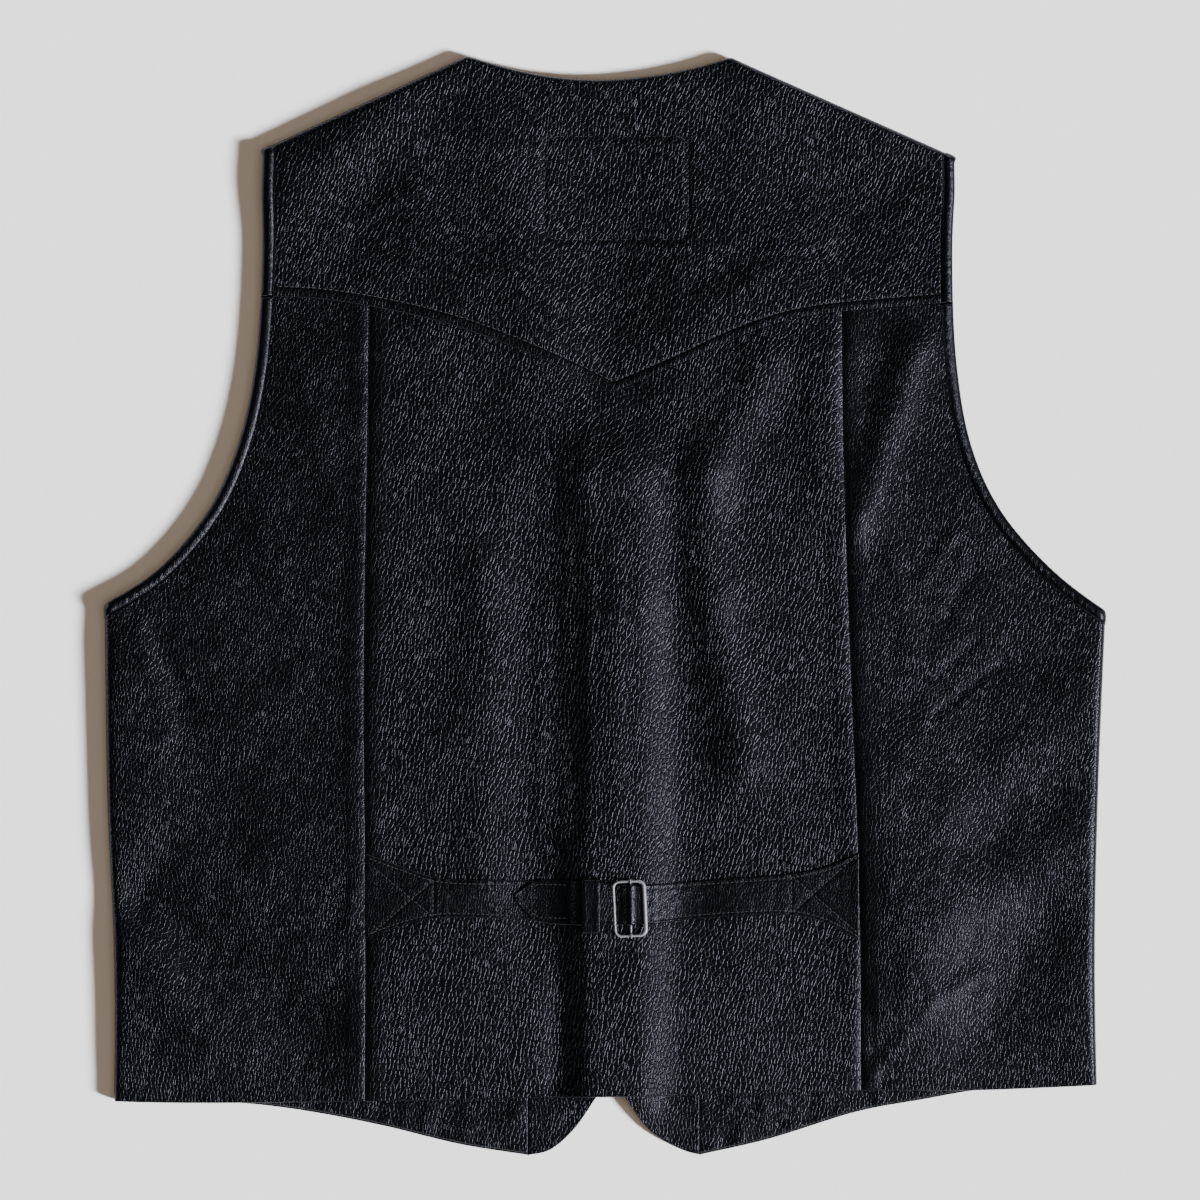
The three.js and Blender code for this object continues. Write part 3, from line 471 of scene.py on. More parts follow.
def by_seam(side, x, y):
    """Relief beside a back seam: the dip of the seam, the seam allowance below and small puckers."""
    away = np.abs(x - seam_x(side, y))
    allowance = 0.16 * (1 - between(8.5, 11.5, away)) * between(1.5, 3.5, away)
    pucker = 0.1 * puckers(y, 21 + OUT[side], 9) * np.exp(-away / 6)
    return trough(away, 1.2, SEAM_DIP) + allowance + pucker


def yoke_relief(x, y):
    away = yoke_seam.distance(x, y)
    margin = 0.2 * np.exp(-(((away - 3.2) / 1.9) ** 2))
    pucker = 0.16 * puckers(x, 31, 6.5) * np.exp(-np.abs(away - STITCH_IN) / 4.5)
    label = trough(label_line.distance(x, y), 1.0, 0.5)
    return back_relief(x, y) + trough(away - STITCH_IN, 0.7, 0.2) + margin + pucker + label


# Steps from an edge in to the even spacing, so that a rounded edge has enough rows
EDGE_STEPS = np.array([0, 0.1, 0.28, 0.55, 0.95, 1.5, 2.2, 3.1])


def spaced(length, step, start=True, end=True):
    """Shares along a length: even steps, with finer ones at the edges that show."""
    first = EDGE_STEPS if start else np.array([0.0])
    last = length - (EDGE_STEPS[::-1] if end else np.array([0.0]))
    count = max(int((last[0] - first[-1]) / step), 1)
    middle = np.linspace(first[-1], last[0], count + 1)[1:-1]
    return np.concatenate([first, middle, last]) / length


def rounding(distance, radius):
    """How far a rounded edge has dropped, from 1 at the edge to 0 at the radius."""
    inside = np.clip(distance / radius, 0, 1)
    return 1 - np.sqrt(1 - (1 - inside) ** 2)


def measured(grid):
    """Distances of each point of a grid from its four edges, along its rows and columns."""
    across = np.cumsum(np.linalg.norm(np.diff(grid, axis=1, prepend=grid[:, :1]), axis=-1), axis=1)
    along = np.cumsum(np.linalg.norm(np.diff(grid, axis=0, prepend=grid[:1]), axis=-1), axis=0)
    return across, across[:, -1:] - across, along, along[-1:] - along


def normals(grid, flip):
    across = np.gradient(grid, axis=1)
    along = np.gradient(grid, axis=0)
    normal = np.cross(across, along)
    normal /= np.linalg.norm(normal, axis=-1)[..., None]
    return -normal if flip else normal


def new_object(name, points, faces, material, uv=None, press=None):
    """A mesh from points in the tables' millimetres."""
    mesh = bpy.data.meshes.new(name)
    mesh.from_pydata(((points - MIDDLE) * MM).tolist(), [], faces)
    if uv is not None:
        corners = np.empty(len(mesh.loops), int)
        mesh.loops.foreach_get("vertex_index", corners)
        layer = mesh.uv_layers.new(name="leather")
        layer.data.foreach_set("uv", np.asarray(uv, float)[corners].ravel())
    if press is not None:
        mesh.attributes.new("press", "FLOAT", "POINT").data.foreach_set("value", press)
    mesh.shade_smooth()
    mesh.materials.append(material)
    piece = bpy.data.objects.new(name, mesh)
    bpy.context.scene.collection.objects.link(piece)
    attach(piece, "root")
    return piece


EDGE_DROP = 0.93  # how much of its thickness a sheet loses at a rounded edge


def shell(name, grid, material, flip=False, thick=LEATHER, over=None, edges="start end first last",
          press=0.0, uv=None, radius=None, under=None, lift=0.0):
    """A closed sheet of leather on a grid of points in its middle.

    over and under are its thickness above and below those points. edges names the sides that are
    rounded: start, end, first and last, for the first and last column and the first and last row.
    """
    tall, wide = grid.shape[:2]
    over = thick / 2 if over is None else over
    under = thick / 2 if under is None else under
    radius = thick / 2 if radius is None else radius
    sides = dict(zip(("start", "end", "first", "last"), measured(grid)))
    drop = np.zeros((tall, wide))
    for side in edges.split():
        drop = np.maximum(drop, rounding(sides[side], radius))
    keep = 1 - EDGE_DROP * drop
    normal = normals(grid, flip)
    outer = grid + normal * (over * keep + lift)[..., None]
    inner = grid - normal * (under * keep - lift)[..., None]
    index = np.arange(tall * wide).reshape(tall, wide)
    below = index + tall * wide

    def quads(a, b, c, d):
        order = (a, d, c, b) if flip else (a, b, c, d)
        return np.stack([corner.ravel() for corner in order], -1)

    faces = np.vstack([
        quads(index[:-1, :-1], index[:-1, 1:], index[1:, 1:], index[1:, :-1]),
        quads(below[:-1, :-1], below[1:, :-1], below[1:, 1:], below[:-1, 1:]),
        quads(index[0, :-1], below[0, :-1], below[0, 1:], index[0, 1:]),
        quads(index[-1, :-1], index[-1, 1:], below[-1, 1:], below[-1, :-1]),
        quads(index[:-1, 0], index[1:, 0], below[1:, 0], below[:-1, 0]),
        quads(index[:-1, -1], below[:-1, -1], below[1:, -1], index[1:, -1]),
    ])
    uv = grid[..., :2] if uv is None else uv
    flat_uv = np.concatenate([uv.reshape(-1, 2)] * 2)
    pressed = np.broadcast_to(press, (tall, wide)).ravel()
    points = np.concatenate([outer.reshape(-1, 3), inner.reshape(-1, 3)])
    return new_object(name, points, faces.tolist(), material, flat_uv, np.concatenate([pressed] * 2))


# Materials
def fill(tree, made, values):
    """Gives a node's sockets and settings their values; a value that is a socket is linked."""
    for name, value in values.items():
        if name not in made.inputs:
            setattr(made, name, value)
        elif isinstance(value, bpy.types.NodeSocket):
            tree.links.new(value, made.inputs[name])
        else:
            made.inputs[name].default_value = value


def node(tree, kind, **values):
    made = tree.nodes.new(kind)
    fill(tree, made, values)
    return made


def math_node(tree, operation, a, b, kind="ShaderNodeMath"):
    """One step of arithmetic on two values, each a number or a socket."""
    made = node(tree, kind, operation=operation)
    for socket, value in zip(made.inputs, (a, b)):
        if isinstance(value, bpy.types.NodeSocket):
            tree.links.new(value, socket)
        else:
            socket.default_value = value
    return made.outputs[0]


def remap(tree, value, low, high, to_low=0.0, to_high=1.0):
    ends = {"From Min": low, "From Max": high, "To Min": to_low, "To Max": to_high}
    made = node(tree, "ShaderNodeMapRange", interpolation_type="SMOOTHSTEP", Value=value, **ends)
    return made.outputs["Result"]


def mixed(tree, factor, a, b):
    made = tree.nodes.new("ShaderNodeMix")
    made.data_type = "RGBA"
    tree.links.new(factor, made.inputs["Factor"])
    made.inputs["A"].default_value = (*a, 1)
    made.inputs["B"].default_value = (*b, 1)
    return made.outputs["Result"]


BLACK = (0.0003, 0.00035, 0.0006)
VEIN = (0.0003, 0.0004, 0.0006)
ROUGH = 0.285
DOMES, SMALL_CELLS, PORES = 0.9, 0.1, 0.03  # shares of the grain's height
PRESSED_FLAT = 0.8  # how much of the grain full pressure takes away


def new_material(name):
    material = bpy.data.materials.new(name)
    material.use_nodes = True
    return material, material.node_tree, material.node_tree.nodes["Principled BSDF"]


def leather(name, cell, slant, depth):
    """Pebbled leather: cells of the given width and length in millimetres, in the sheet's own plane."""
    material, tree, shader = new_material(name)
    plane = node(tree, "ShaderNodeUVMap", uv_map="leather").outputs["UV"]
    press = node(tree, "ShaderNodeAttribute", attribute_name="press").outputs["Fac"]

    def step(operation, a, b):
        return math_node(tree, operation, a, b)

    def noise(vector, scale, detail):
        return node(tree, "ShaderNodeTexNoise", noise_dimensions="2D", Vector=vector, Scale=scale,
                    Detail=detail)

    def mapping(vector, **values):
        return node(tree, "ShaderNodeMapping", vector_type="POINT", Vector=vector, **values).outputs[0]

    def warp(vector, scale, amount):
        kind = "ShaderNodeVectorMath"
        colour = noise(vector, scale, 1.0).outputs["Color"]
        centred = math_node(tree, "SUBTRACT", colour, (0.5, 0.5, 0.5), kind)
        moved_by = math_node(tree, "MULTIPLY", centred, (amount, amount, amount), kind)
        return math_node(tree, "ADD", vector, moved_by, kind)

    turned = mapping(warp(warp(plane, 1 / 60, 9), 1 / 7, 0.9), Rotation=(0, 0, slant))
    stretched = mapping(turned, Scale=(1 / cell[0], 1 / cell[1], 1))

    def cells(scale, slope):
        voronoi = node(tree, "ShaderNodeTexVoronoi", voronoi_dimensions="2D", feature="DISTANCE_TO_EDGE",
                       Vector=stretched, Scale=scale)
        return remap(tree, voronoi.outputs["Distance"], 0.0, slope)

    pebble, small = cells(1.0, 0.26), cells(2.1, 0.2)
    rim = step("SUBTRACT", 1.0, pebble)
    dome = step("SUBTRACT", 1.0, step("MULTIPLY", rim, rim))
    both = step("ADD", step("MULTIPLY", dome, DOMES), step("MULTIPLY", small, SMALL_CELLS))
    strength = step("SUBTRACT", 1.0, step("MULTIPLY", press, PRESSED_FLAT))
    uneven = remap(tree, noise(plane, 1 / 38, 2.0).outputs["Fac"], 0.3, 0.7, 0.94, 1.04)
    height = step("MULTIPLY", step("MULTIPLY", both, strength), uneven)
    height = step("ADD", height, step("MULTIPLY", noise(plane, 1.6, 3.0).outputs["Fac"], PORES))
    bump = node(tree, "ShaderNodeBump", Strength=1.0, Distance=depth * MM, Height=height)
    fill(tree, shader, {
        "IOR": 1.5,
        "Specular IOR Level": 0.4,
        "Specular Tint": (0.79, 0.8, 1.0, 1),
        "Base Color": mixed(tree, pebble, VEIN, BLACK),
        "Roughness": remap(tree, pebble, 0.0, 0.5, ROUGH + 0.05, ROUGH),
        "Normal": bump.outputs[0],
    })
    return material


def plain(name, colour, rough, metallic=0.0):
    """Thread or metal: one colour, slightly uneven in its shine and height."""
    material, tree, shader = new_material(name)
    place = node(tree, "ShaderNodeTexCoord").outputs["Object"]
    noise = node(tree, "ShaderNodeTexNoise", Vector=place, Scale=900.0, Detail=3.0).outputs["Fac"]
    bump = node(tree, "ShaderNodeBump", Strength=0.5, Distance=0.04 * MM, Height=noise)
    fill(tree, shader, {
        "Base Color": (*colour, 1),
        "Metallic": metallic,
        "Roughness": remap(tree, noise, 0.3, 0.7, rough - 0.07, rough + 0.09),
        "Normal": bump.outputs[0],
    })
    return material


back_leather = leather("back_leather", (2.1, 3.1), 0.16, 0.116)
side_leather = leather("side_leather", (1.8, 2.6), -0.2, 0.092)
trim_leather = leather("trim_leather", (1.5, 2.0), 0.1, 0.058)
thread = plain("thread", (0.03, 0.031, 0.037), 0.44)
wire = plain("buckle_wire", (0.25, 0.26, 0.29), 0.38, metallic=0.6)


def slotted(piece, slot, *nodes):
    if nodes:
        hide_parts(*nodes)


# Panels of the back
STEP = 1.8


def under_yoke(x):
    return joined(x, yoke_seam.height(x) + LAP)


def by_tip(left, right, u):
    """x at a share of the way from left to right, with the yoke's tip in the middle."""
    tip = YOKE_SEAM["right"][0][0]
    return np.where(u < 0.5, lerp(left, tip, 2 * u), lerp(tip, right, 2 * u - 1))


def back_centre():
    hem = Path.through(HEM["middle"])
    left_x, right_x = BACK_SEAM["left"][-1][0], BACK_SEAM["right"][-1][0]

    def top(u):
        return under_yoke(by_tip(left_x, right_x, u))

    def edge(side):
        to = seam[side].reach(1, yoke_seam.height(BACK_SEAM[side][-1][0]) + LAP)
        return lambda v: seam[side].at(v * to)

    u = spaced(277, STEP)
    v = spaced(440, STEP, end=False)
    plane = patch(u, v, hem.at, top, edge("left"), edge("right"))
    x, y = plane[..., 0], plane[..., 1]
    relief = back_relief(x, y) + by_seam("left", x, y) + by_seam("right", x, y)
    grid = joined(x, y, back_height(x, y) + relief)
    pressed = 0.45 * (1 - between(7, 15, x - seam_x("left", y)))
    pressed += 0.3 * (1 - between(1, 5, seam_x("right", y) - x))
    piece = shell("centre_back", grid, back_leather, edges="start end first", radius=ROUND["back"],
                  press=np.clip(pressed, 0, 1))
    slotted(piece, "leather", "back_centre")


ROLL_TO = 0.14
ROLL_FROM = 0.06
ARMHOLE_TO = 0.8


def folded_x(side, y, share):
    start, radius = roll_start(side, y)
    roll_end = start + OUT[side] * np.pi * radius
    under = lerp(side_seam_x(side, y), roll_end, share / ROLL_FROM)
    rolled = lerp(roll_end, start, (share - ROLL_FROM) / (ROLL_TO - ROLL_FROM))
    return np.where(share < ROLL_FROM, under, rolled)


def share_of_armhole(side, line, share, end):
    """Where a share of the way across falls on a line inside the armhole, which stops at a share."""
    level = line.points[0][1]
    at_roll = line.reach(0, folded_x(side, level, ROLL_TO))
    rolled = line.reach(0, folded_x(side, level, share))
    flat = lerp(at_roll, end, (share - ROLL_TO) / (ARMHOLE_TO - ROLL_TO))
    return np.where(share <= ROLL_TO, rolled, flat)


def back_side(side):
    hem = Path.through(HEM[side])
    inner = inside_armhole(side, BAND - UNDER_BAND)
    stop = inner.reach(1, yoke_seam.height(OUT[side] * YOKE_CORNER_X) + LAP)
    seam_top = BACK_SEAM[side][-1][0]
    low = hem.points[0][1]
    corner_x = inner.at(stop)[0]

    def top(u):
        along = inner.at(share_of_armhole(side, inner, u, stop))
        flat = under_yoke(lerp(corner_x, seam_top, (u - ARMHOLE_TO) / (1 - ARMHOLE_TO)))
        return np.where((u <= ARMHOLE_TO)[:, None], along, flat)

    def bottom(u):
        flat = lerp(folded_x(side, low, ROLL_TO), seam[side].points[0][0], (u - ROLL_TO) / (1 - ROLL_TO))
        x = np.where(u <= ROLL_TO, folded_x(side, low, u), flat)
        return joined(x, hem.height(x))

    def start(v):
        y = lerp(low, inner.points[0][1], v)
        return joined(side_seam_x(side, y), y)

    seam_to = seam[side].reach(1, yoke_seam.height(seam_top) + LAP)
    u = np.concatenate([
        np.linspace(0, ROLL_FROM, 5)[:-1],
        np.linspace(ROLL_FROM, ROLL_TO, 15)[:-1],
        np.linspace(ROLL_TO, ARMHOLE_TO, 66)[:-1],
        ARMHOLE_TO + (1 - ARMHOLE_TO) * spaced(50, STEP, start=False),
    ])
    v = spaced(420, STEP)
    plane = patch(u, v, bottom, top, start, lambda v: seam[side].at(v * seam_to))
    x, y = plane[..., 0], plane[..., 1]
    roll_x, _ = roll_start(side, y)
    inside = OUT[side] * (roll_x - x)
    relief = (back_relief(x, y) + 0.05 * waves(x, y, 14, 9, 26, 30)) * between(0, 14, inside)
    grid = on_side(side, plane, relief + by_seam(side, x, y))
    away = np.abs(x - seam_x(side, y))
    pressed = (0.45 if side == "right" else 0.3) * (1 - between(7, 14, away))
    piece = shell(f"side_back_{side}", grid, side_leather, flip=side == "right",
                  edges="end first last", radius=ROUND["back"], press=pressed)
    slotted(piece, "leather", f"back_side_{side}")


def yoke_side(side, distance):
    line = inside_armhole(side, distance)
    top_x = line.at(1)[0] - OUT[side] * LAP_CLEAR
    _, _, start, _ = top_roll(top_x)
    first = line.reach(1, yoke_seam.height(OUT[side] * YOKE_CORNER_X))
    last = line.reach(1, start[1])

    def at(v):
        points = line.at(lerp(first, last, v))
        points[:, 0] = lerp(points[:, 0], start[0], between(0.6, 1, v))
        return points

    return top_x, at


def rows_over(count):
    """Rows of the top edge's roll, and of the part turned under."""
    return np.concatenate([np.linspace(1, 2, count)[1:], np.linspace(2, 3, 6)[1:]])


def back_yoke():
    left_top, left = yoke_side("left", BAND - UNDER_BAND)
    right_top, right = yoke_side("right", BAND - UNDER_BAND)
    left_x, right_x = left(np.zeros(1))[0, 0], right(np.zeros(1))[0, 0]

    def bottom(u):
        x = by_tip(left_x, right_x, u)
        return joined(x, yoke_seam.height(x))

    def top_x(u):
        return np.interp(u, [0, 0.3, 0.7, 1], [left_top, NECK[0][0], NECK[-1][0], right_top])

    u = spaced(385, STEP)
    flat_rows = spaced(150, STEP, end=False)
    flat_rows = np.concatenate([np.arange(0, 10, 0.45) / 150, flat_rows[flat_rows > 10 / 150]])
    plane = patch(u, flat_rows, bottom, lambda u: top_roll(top_x(u))[2], left, right)
    x, y = plane[..., 0], plane[..., 1]
    to_top = (1 - between(0.88, 1, flat_rows))[:, None]
    flat = joined(x, y, yoke_height(x, y) + yoke_relief(x, y) * to_top)
    over_rows = rows_over(17)
    over = np.stack([round_top(top_x(u), row) for row in over_rows])
    grid = np.concatenate([flat, over])
    away = yoke_seam.distance(x, y)
    near_label = np.exp(-((label_line.distance(x, y) / 1.6) ** 2))
    pressed = np.clip(0.4 * (1 - between(4.5, 8, away)) + 0.4 * near_label, 0, 1)
    pressed = np.concatenate([pressed, np.zeros(over.shape[:2])])
    up = np.concatenate([y, np.stack([plane[-1, :, 1] + (row - 1) * 9 for row in over_rows])])
    sideways = np.concatenate([x, np.repeat(plane[-1:, :, 0], len(over_rows), 0)])
    piece = shell("yoke", grid, back_leather, press=pressed, uv=joined(sideways, up))
    slotted(piece, "leather", "back_yoke")


SHOWN_BAND = BAND_OVER - 0.35  # a band's edges above its middle plane, where it shows
BAND_ACROSS = np.array([0, 0.02, 0.06, 0.13, 0.24, 0.4, 0.58, 0.74, 0.86, 0.93, 0.97, 1])


def band_crown(across, seed, along):
    """How a folded band stands above its line: round over the edge, with cross puckers."""
    crown = 0.85 * np.sin(np.pi * np.clip(across, 0, 1))
    return crown + 0.09 * puckers(along, seed, 4.2) * np.sin(np.pi * across)


def band(name, solid, side, grid, seed, risen, over):
    """A folded band along its grid, which stands above it as far as it has risen."""
    along = measured(grid)[0]
    crown = band_crown(BAND_ACROSS[:, None], seed, along)
    piece = shell(name, grid, trim_leather, flip=side == "left", over=over + crown * risen,
                  under=LEATHER / 2, radius=ROUND["band"], press=0.25,
                  uv=joined(along, BAND_ACROSS[:, None] * BAND))
    slotted(piece, "leather_trim", solid)


def band_on_side(side):
    lines = [inside_armhole(side, share * BAND) for share in BAND_ACROSS]
    rolled = np.concatenate([np.linspace(0, ROLL_FROM, 7)[:-1], np.linspace(ROLL_FROM, ROLL_TO, 17)])
    columns = np.concatenate([rolled, np.linspace(ROLL_TO, ARMHOLE_TO, 300)[1:]])
    level = yoke_seam.height(OUT[side] * YOKE_CORNER_X) + 0.3
    plane = np.stack([line.at(share_of_armhole(side, line, columns, line.reach(1, level))) for line in lines])
    risen = between(ROLL_FROM, ROLL_TO, columns)[None]
    band(f"side_band_{side}", f"band_side_{side}", side, on_side(side, plane, 0), 41, risen,
         lerp(LEATHER / 2, SHOWN_BAND, risen))


def band_on_yoke(side):
    flat_rows = np.linspace(0, 1, 90)
    over_rows = rows_over(15)
    lines = []
    for share in BAND_ACROSS:
        top_x, at = yoke_side(side, share * BAND)
        points = at(flat_rows)
        flat = np.concatenate([points, back_height(points[:, 0], points[:, 1])[:, None]], -1)
        over = np.stack([round_top(np.array(top_x), row) for row in over_rows])
        lines.append(np.concatenate([flat, over]))
    turned = between(1, 2, np.concatenate([flat_rows, over_rows]))[None]
    band(f"yoke_band_{side}", f"band_yoke_{side}", side, np.stack(lines), 47, 1 - turned,
         lerp(SHOWN_BAND, LEATHER / 2, turned))


# Fronts
def front_seam_x(side, y):
    return roll_start(side, y)[0] - OUT[side] * (SIDE_TURN + GAP)


def front_armhole(side, distance):
    end = shoulder_seam(np.array(armhole[side].at(1)[0]))
    y = ARMHOLE[side][0][1]
    edge = Path.through([(float(front_seam_x(side, y)), y), *FRONT_ARMHOLE[side], tuple(end)])
    return edge.beside(-OUT[side] * distance)


def front_plane(side, u, v):
    hem = Path.through(FRONT_HEM[side])
    cutaway = Path.through(CUTAWAY[side])
    neck_end = tuple(shoulder_seam(np.array(float(NECK_END[side]))))
    straight = [OPENING[side][-1], V_NECK[side][0]]
    opening = Path.through(OPENING[side], straight, [*V_NECK[side], neck_end])
    inner = front_armhole(side, BAND + BAND_CLEAR)
    low, high = FRONT_HEM[side][0][1], inner.points[0][1]
    hem_from = hem.reach(0, front_seam_x(side, low))
    shoulder_from = armhole[side].at(1)[0] - OUT[side] * (BAND + BAND_CLEAR)

    def bottom(u):
        on_cutaway = cutaway.at((u - FACING_FROM) / (1 - FACING_FROM))
        return np.where((u < FACING_FROM)[:, None], hem.at(lerp(hem_from, 1, u / FACING_FROM)), on_cutaway)

    def start(v):
        y = lerp(low, high, v / UNDERARM)
        seam_side = joined(front_seam_x(side, y), y)
        return np.where((v > UNDERARM)[:, None], inner.at((v - UNDERARM) / (1 - UNDERARM)), seam_side)

    def top(u):
        return shoulder_seam(lerp(shoulder_from, NECK_END[side], u))

    edges = bottom, top, start, opening.at
    plane = patch(u, v, *edges)
    seam = patch(np.array([FACING_FROM]), v, *edges)
    beside = np.where(u < FACING_FROM, u / FACING_FROM, (1 - u) / (1 - FACING_FROM))
    drift = (seam[0, 0, 0] - seam[:, 0, 0]) * (1 - between(UPRIGHT_TO, UPRIGHT_TO + 45, seam[:, 0, 1]))
    plane[..., 0] += drift[:, None] * beside[None]
    height = LEATHER / 2 + front_lift(side, plane[..., 0], plane[..., 1])
    return np.concatenate([plane, height[..., None]], -1)


FRONT_STEP = 3.2


def lining(name, solid, side, u, v, rise, wave, squeeze=1.0):
    """A facing: a thinner sheet on the upper side of a front, slightly uneven."""
    grid = front_plane(side, u, v) + np.array([0, 0, (LEATHER + LINER) / 2 + LINER_CLEAR])
    grid[..., 2] += rise * waves(grid[..., 0], grid[..., 1] * squeeze, *wave)
    piece = shell(f"{name}_{side}", grid, side_leather, flip=side == "right", thick=LINER,
                  radius=ROUND["front"])
    slotted(piece, "leather", f"{solid}_{side}")


def front(side):
    flip = side == "right"
    u = np.concatenate([spaced(190, FRONT_STEP, end=False) * FACING_FROM,
                        FACING_FROM + (1 - FACING_FROM) * spaced(62, FRONT_STEP, start=False)[1:]])
    v = spaced(600, FRONT_STEP)
    grid = front_plane(side, u, v)
    wrinkle = waves(grid[..., 0], grid[..., 1], 61 if flip else 67, 12, 40, 30)
    piece = shell(f"front_panel_{side}", grid, side_leather, flip=flip, radius=ROUND["front"],
                  under=LEATHER / 2 - 0.16 * np.maximum(wrinkle, 0) ** 1.5)
    slotted(piece, "leather", f"front_{side}")

    facing_u = FACING_FROM + 0.0008 + (1 - FACING_FROM - 0.003) * spaced(40, 2.4)
    lining("facing", "front_facing", side, facing_u, v, 0.12, (71, 10, 30, 24))
    hem_u = (FACING_FROM - 0.0008) * spaced(190, 2.0)
    hem_from = 0.002 / HEM_FACING_TO
    hem_v = HEM_FACING_TO * (hem_from + (1 - hem_from) * spaced(46, 1.8))
    lining("hem_lining", "hem_facing", side, hem_u, hem_v, 0.16, (75, 8, 26, 24), 0.6)

    plane = np.stack([front_armhole(side, share * BAND).at(np.linspace(0, 1, 200)) for share in BAND_ACROSS])
    band_grid = np.concatenate([plane, np.full((*plane.shape[:2], 1), LEATHER / 2)], -1)
    band(f"front_band_{side}", f"band_front_{side}", side, band_grid, 53, 0.6, BAND_OVER - 0.5)


# Cinch strap: its edges across the back, and its height above the back's leather
STRAP_EDGES = {
    "left": [
        (-133.6, -186.6, -139), (-115.1, -179.9, -145.7), (-94.4, -175.2, -152.3),
        (-48, -176, -154.1), (18, -178.9, -157.3),
    ],
    "right": [
        (141.7, -187.7, -138.5), (122.9, -177.7, -146.3), (103.3, -173.4, -150.2),
        (52.9, -175.4, -154.1), (23.2, -178.2, -156.4), (-38, -177, -154),
        (-43, -173.5, -155.8), (-51, -164.6, -161.8),
    ],
}
FLAT_ON_BACK = CLEAR + STRAP / 2
BAR = {"x": 14.2, "y": -169.5, "height": 2.95, "radius": 0.6, "room": 0.25}
FRAME = {"x": 13.6, "x1": -9.4, "x2": 9.4, "y1": -15.9, "y2": 15.9, "corner": 4.2, "wire": 1.4,
         "bar": 2.1, "height": 4.45, "tilt": 0.045}
KEEPER = {"x": -13.1, "wide": 10, "low": -182.6, "high": -154.2, "wall": 0.9, "base": 1.3, "top": 4.8}
CLAMP = {"off": 0.3, "wide": 1.15, "tall": 1.3, "drop": 0.15, "wire": 0.42}
LOOP_RADIUS = BAR["radius"] + BAR["room"] + STRAP / 2
STRAP_ROUTE = {
    "left": [
        (-133.6, FLAT_ON_BACK), (-70, FLAT_ON_BACK), (-19.5, FLAT_ON_BACK), (-14.5, 2.2),
        (-2, 2.2), (3, 1.1), (BAR["x"], BAR["height"] - LOOP_RADIUS),
    ],
    "right": [
        (141.7, FLAT_ON_BACK), (100, FLAT_ON_BACK), (60, FLAT_ON_BACK), (26, FLAT_ON_BACK),
        (22, 1.4), (18.6, 3.4), (16.2, 5.1), (14.2, 5.85), (12.2, 5.3), (9, 3.9), (6, 3.7),
        (3, 3.75), (-1, 3.9), (-15, 3.9), (-20, 2.85), (-34, 2.6), (-51, 2.55),
    ],
}


def back_top(x, y):
    return back_height(x, y) + LEATHER / 2


STRAP_HEM = 2.2  # edge stitch inside the strap's edges
# Rows of stitches that hold the strap's wide ends, and the row round the tongue
STRAP_ROWS = {
    "left": [
        (-96.4, -153.6, -96.4, -174.4), (-130.2, -146.3, -96.8, -174), (-130.8, -183.8, -96.8, -154.2),
    ],
    "right": [
        (103.9, -151.4, 103.9, -172.2), (104.3, -151.6, 140.4, -183), (104.3, -171.8, 140.4, -139.6),
    ],
}
TONGUE_ROW = [
    (-22, -156.4), (-37.4, -156.2), (-42, -157.9), (-48.2, -163.1),
    (-42, -171.3), (-37.2, -174.7), (-22, -175),
]


def strap_path(side):
    if side == "right":
        return Path.through(STRAP_ROUTE["right"])
    angles = np.linspace(-np.pi / 2, np.pi * 5 / 8, 9)
    loop = [(BAR["x"] + LOOP_RADIUS * np.cos(a), BAR["height"] + LOOP_RADIUS * np.sin(a)) for a in angles]
    return Path.through(STRAP_ROUTE["left"], [*loop, (BAR["x"] - 3.6, BAR["height"] + 0.3)])


strap_low = {side: Path.through([(x, low) for x, low, _ in STRAP_EDGES[side]]) for side in OUT}
strap_high = {side: Path.through([(x, high) for x, _, high in STRAP_EDGES[side]]) for side in OUT}


def strap(side):
    route = strap_path(side)
    length = route.length
    u = spaced(length, 0.75)
    across = spaced(23, 0.8)
    points = route.at(u)
    x = points[None, :, 0] + np.zeros((len(across), 1))
    low, high = strap_low[side].height(points[:, 0]), strap_high[side].height(points[:, 0])
    y = lerp(low[None], high[None], across[:, None])
    grid = joined(x, y, back_top(x, y) + points[None, :, 1])
    _, _, from_low, from_high = measured(grid)
    to_edge = np.minimum(from_low, from_high)
    lift = trough(to_edge - STRAP_HEM, 0.6, 0.16) + 0.05 * waves(x, y, 83, 3, 9, 30)
    lift += 0.1 * puckers(x, 85, 5.5) * np.exp(-to_edge / 4)
    for x1, y1, x2, y2 in STRAP_ROWS[side]:
        lift -= 0.22 * ridge(x, y, x1, y1, x2, y2, 0.9) * (np.abs(x) > 60)
    piece = shell(f"strap_part_{side}", grid, trim_leather, flip=side == "right", thick=STRAP,
                  press=0.1 + 0.4 * np.exp(-to_edge / 2), radius=ROUND["back"], lift=lift * 0.8)
    slotted(piece, "leather_trim", f"strap_{side}")


def tube_faces(rings, around, closed=False, first=0):
    """Faces of a tube of rings, with its ends closed off unless it comes back to its start."""
    faces = []
    for i in range(rings if closed else rings - 1):
        here, there = first + i * around, first + (i + 1) % rings * around
        for k in range(around):
            n = (k + 1) % around
            faces.append((here + k, here + n, there + n, there + k))
    if not closed:
        last = first + (rings - 1) * around
        faces.append(tuple(first + k for k in reversed(range(around))))
        faces.append(tuple(last + k for k in range(around)))
    return faces


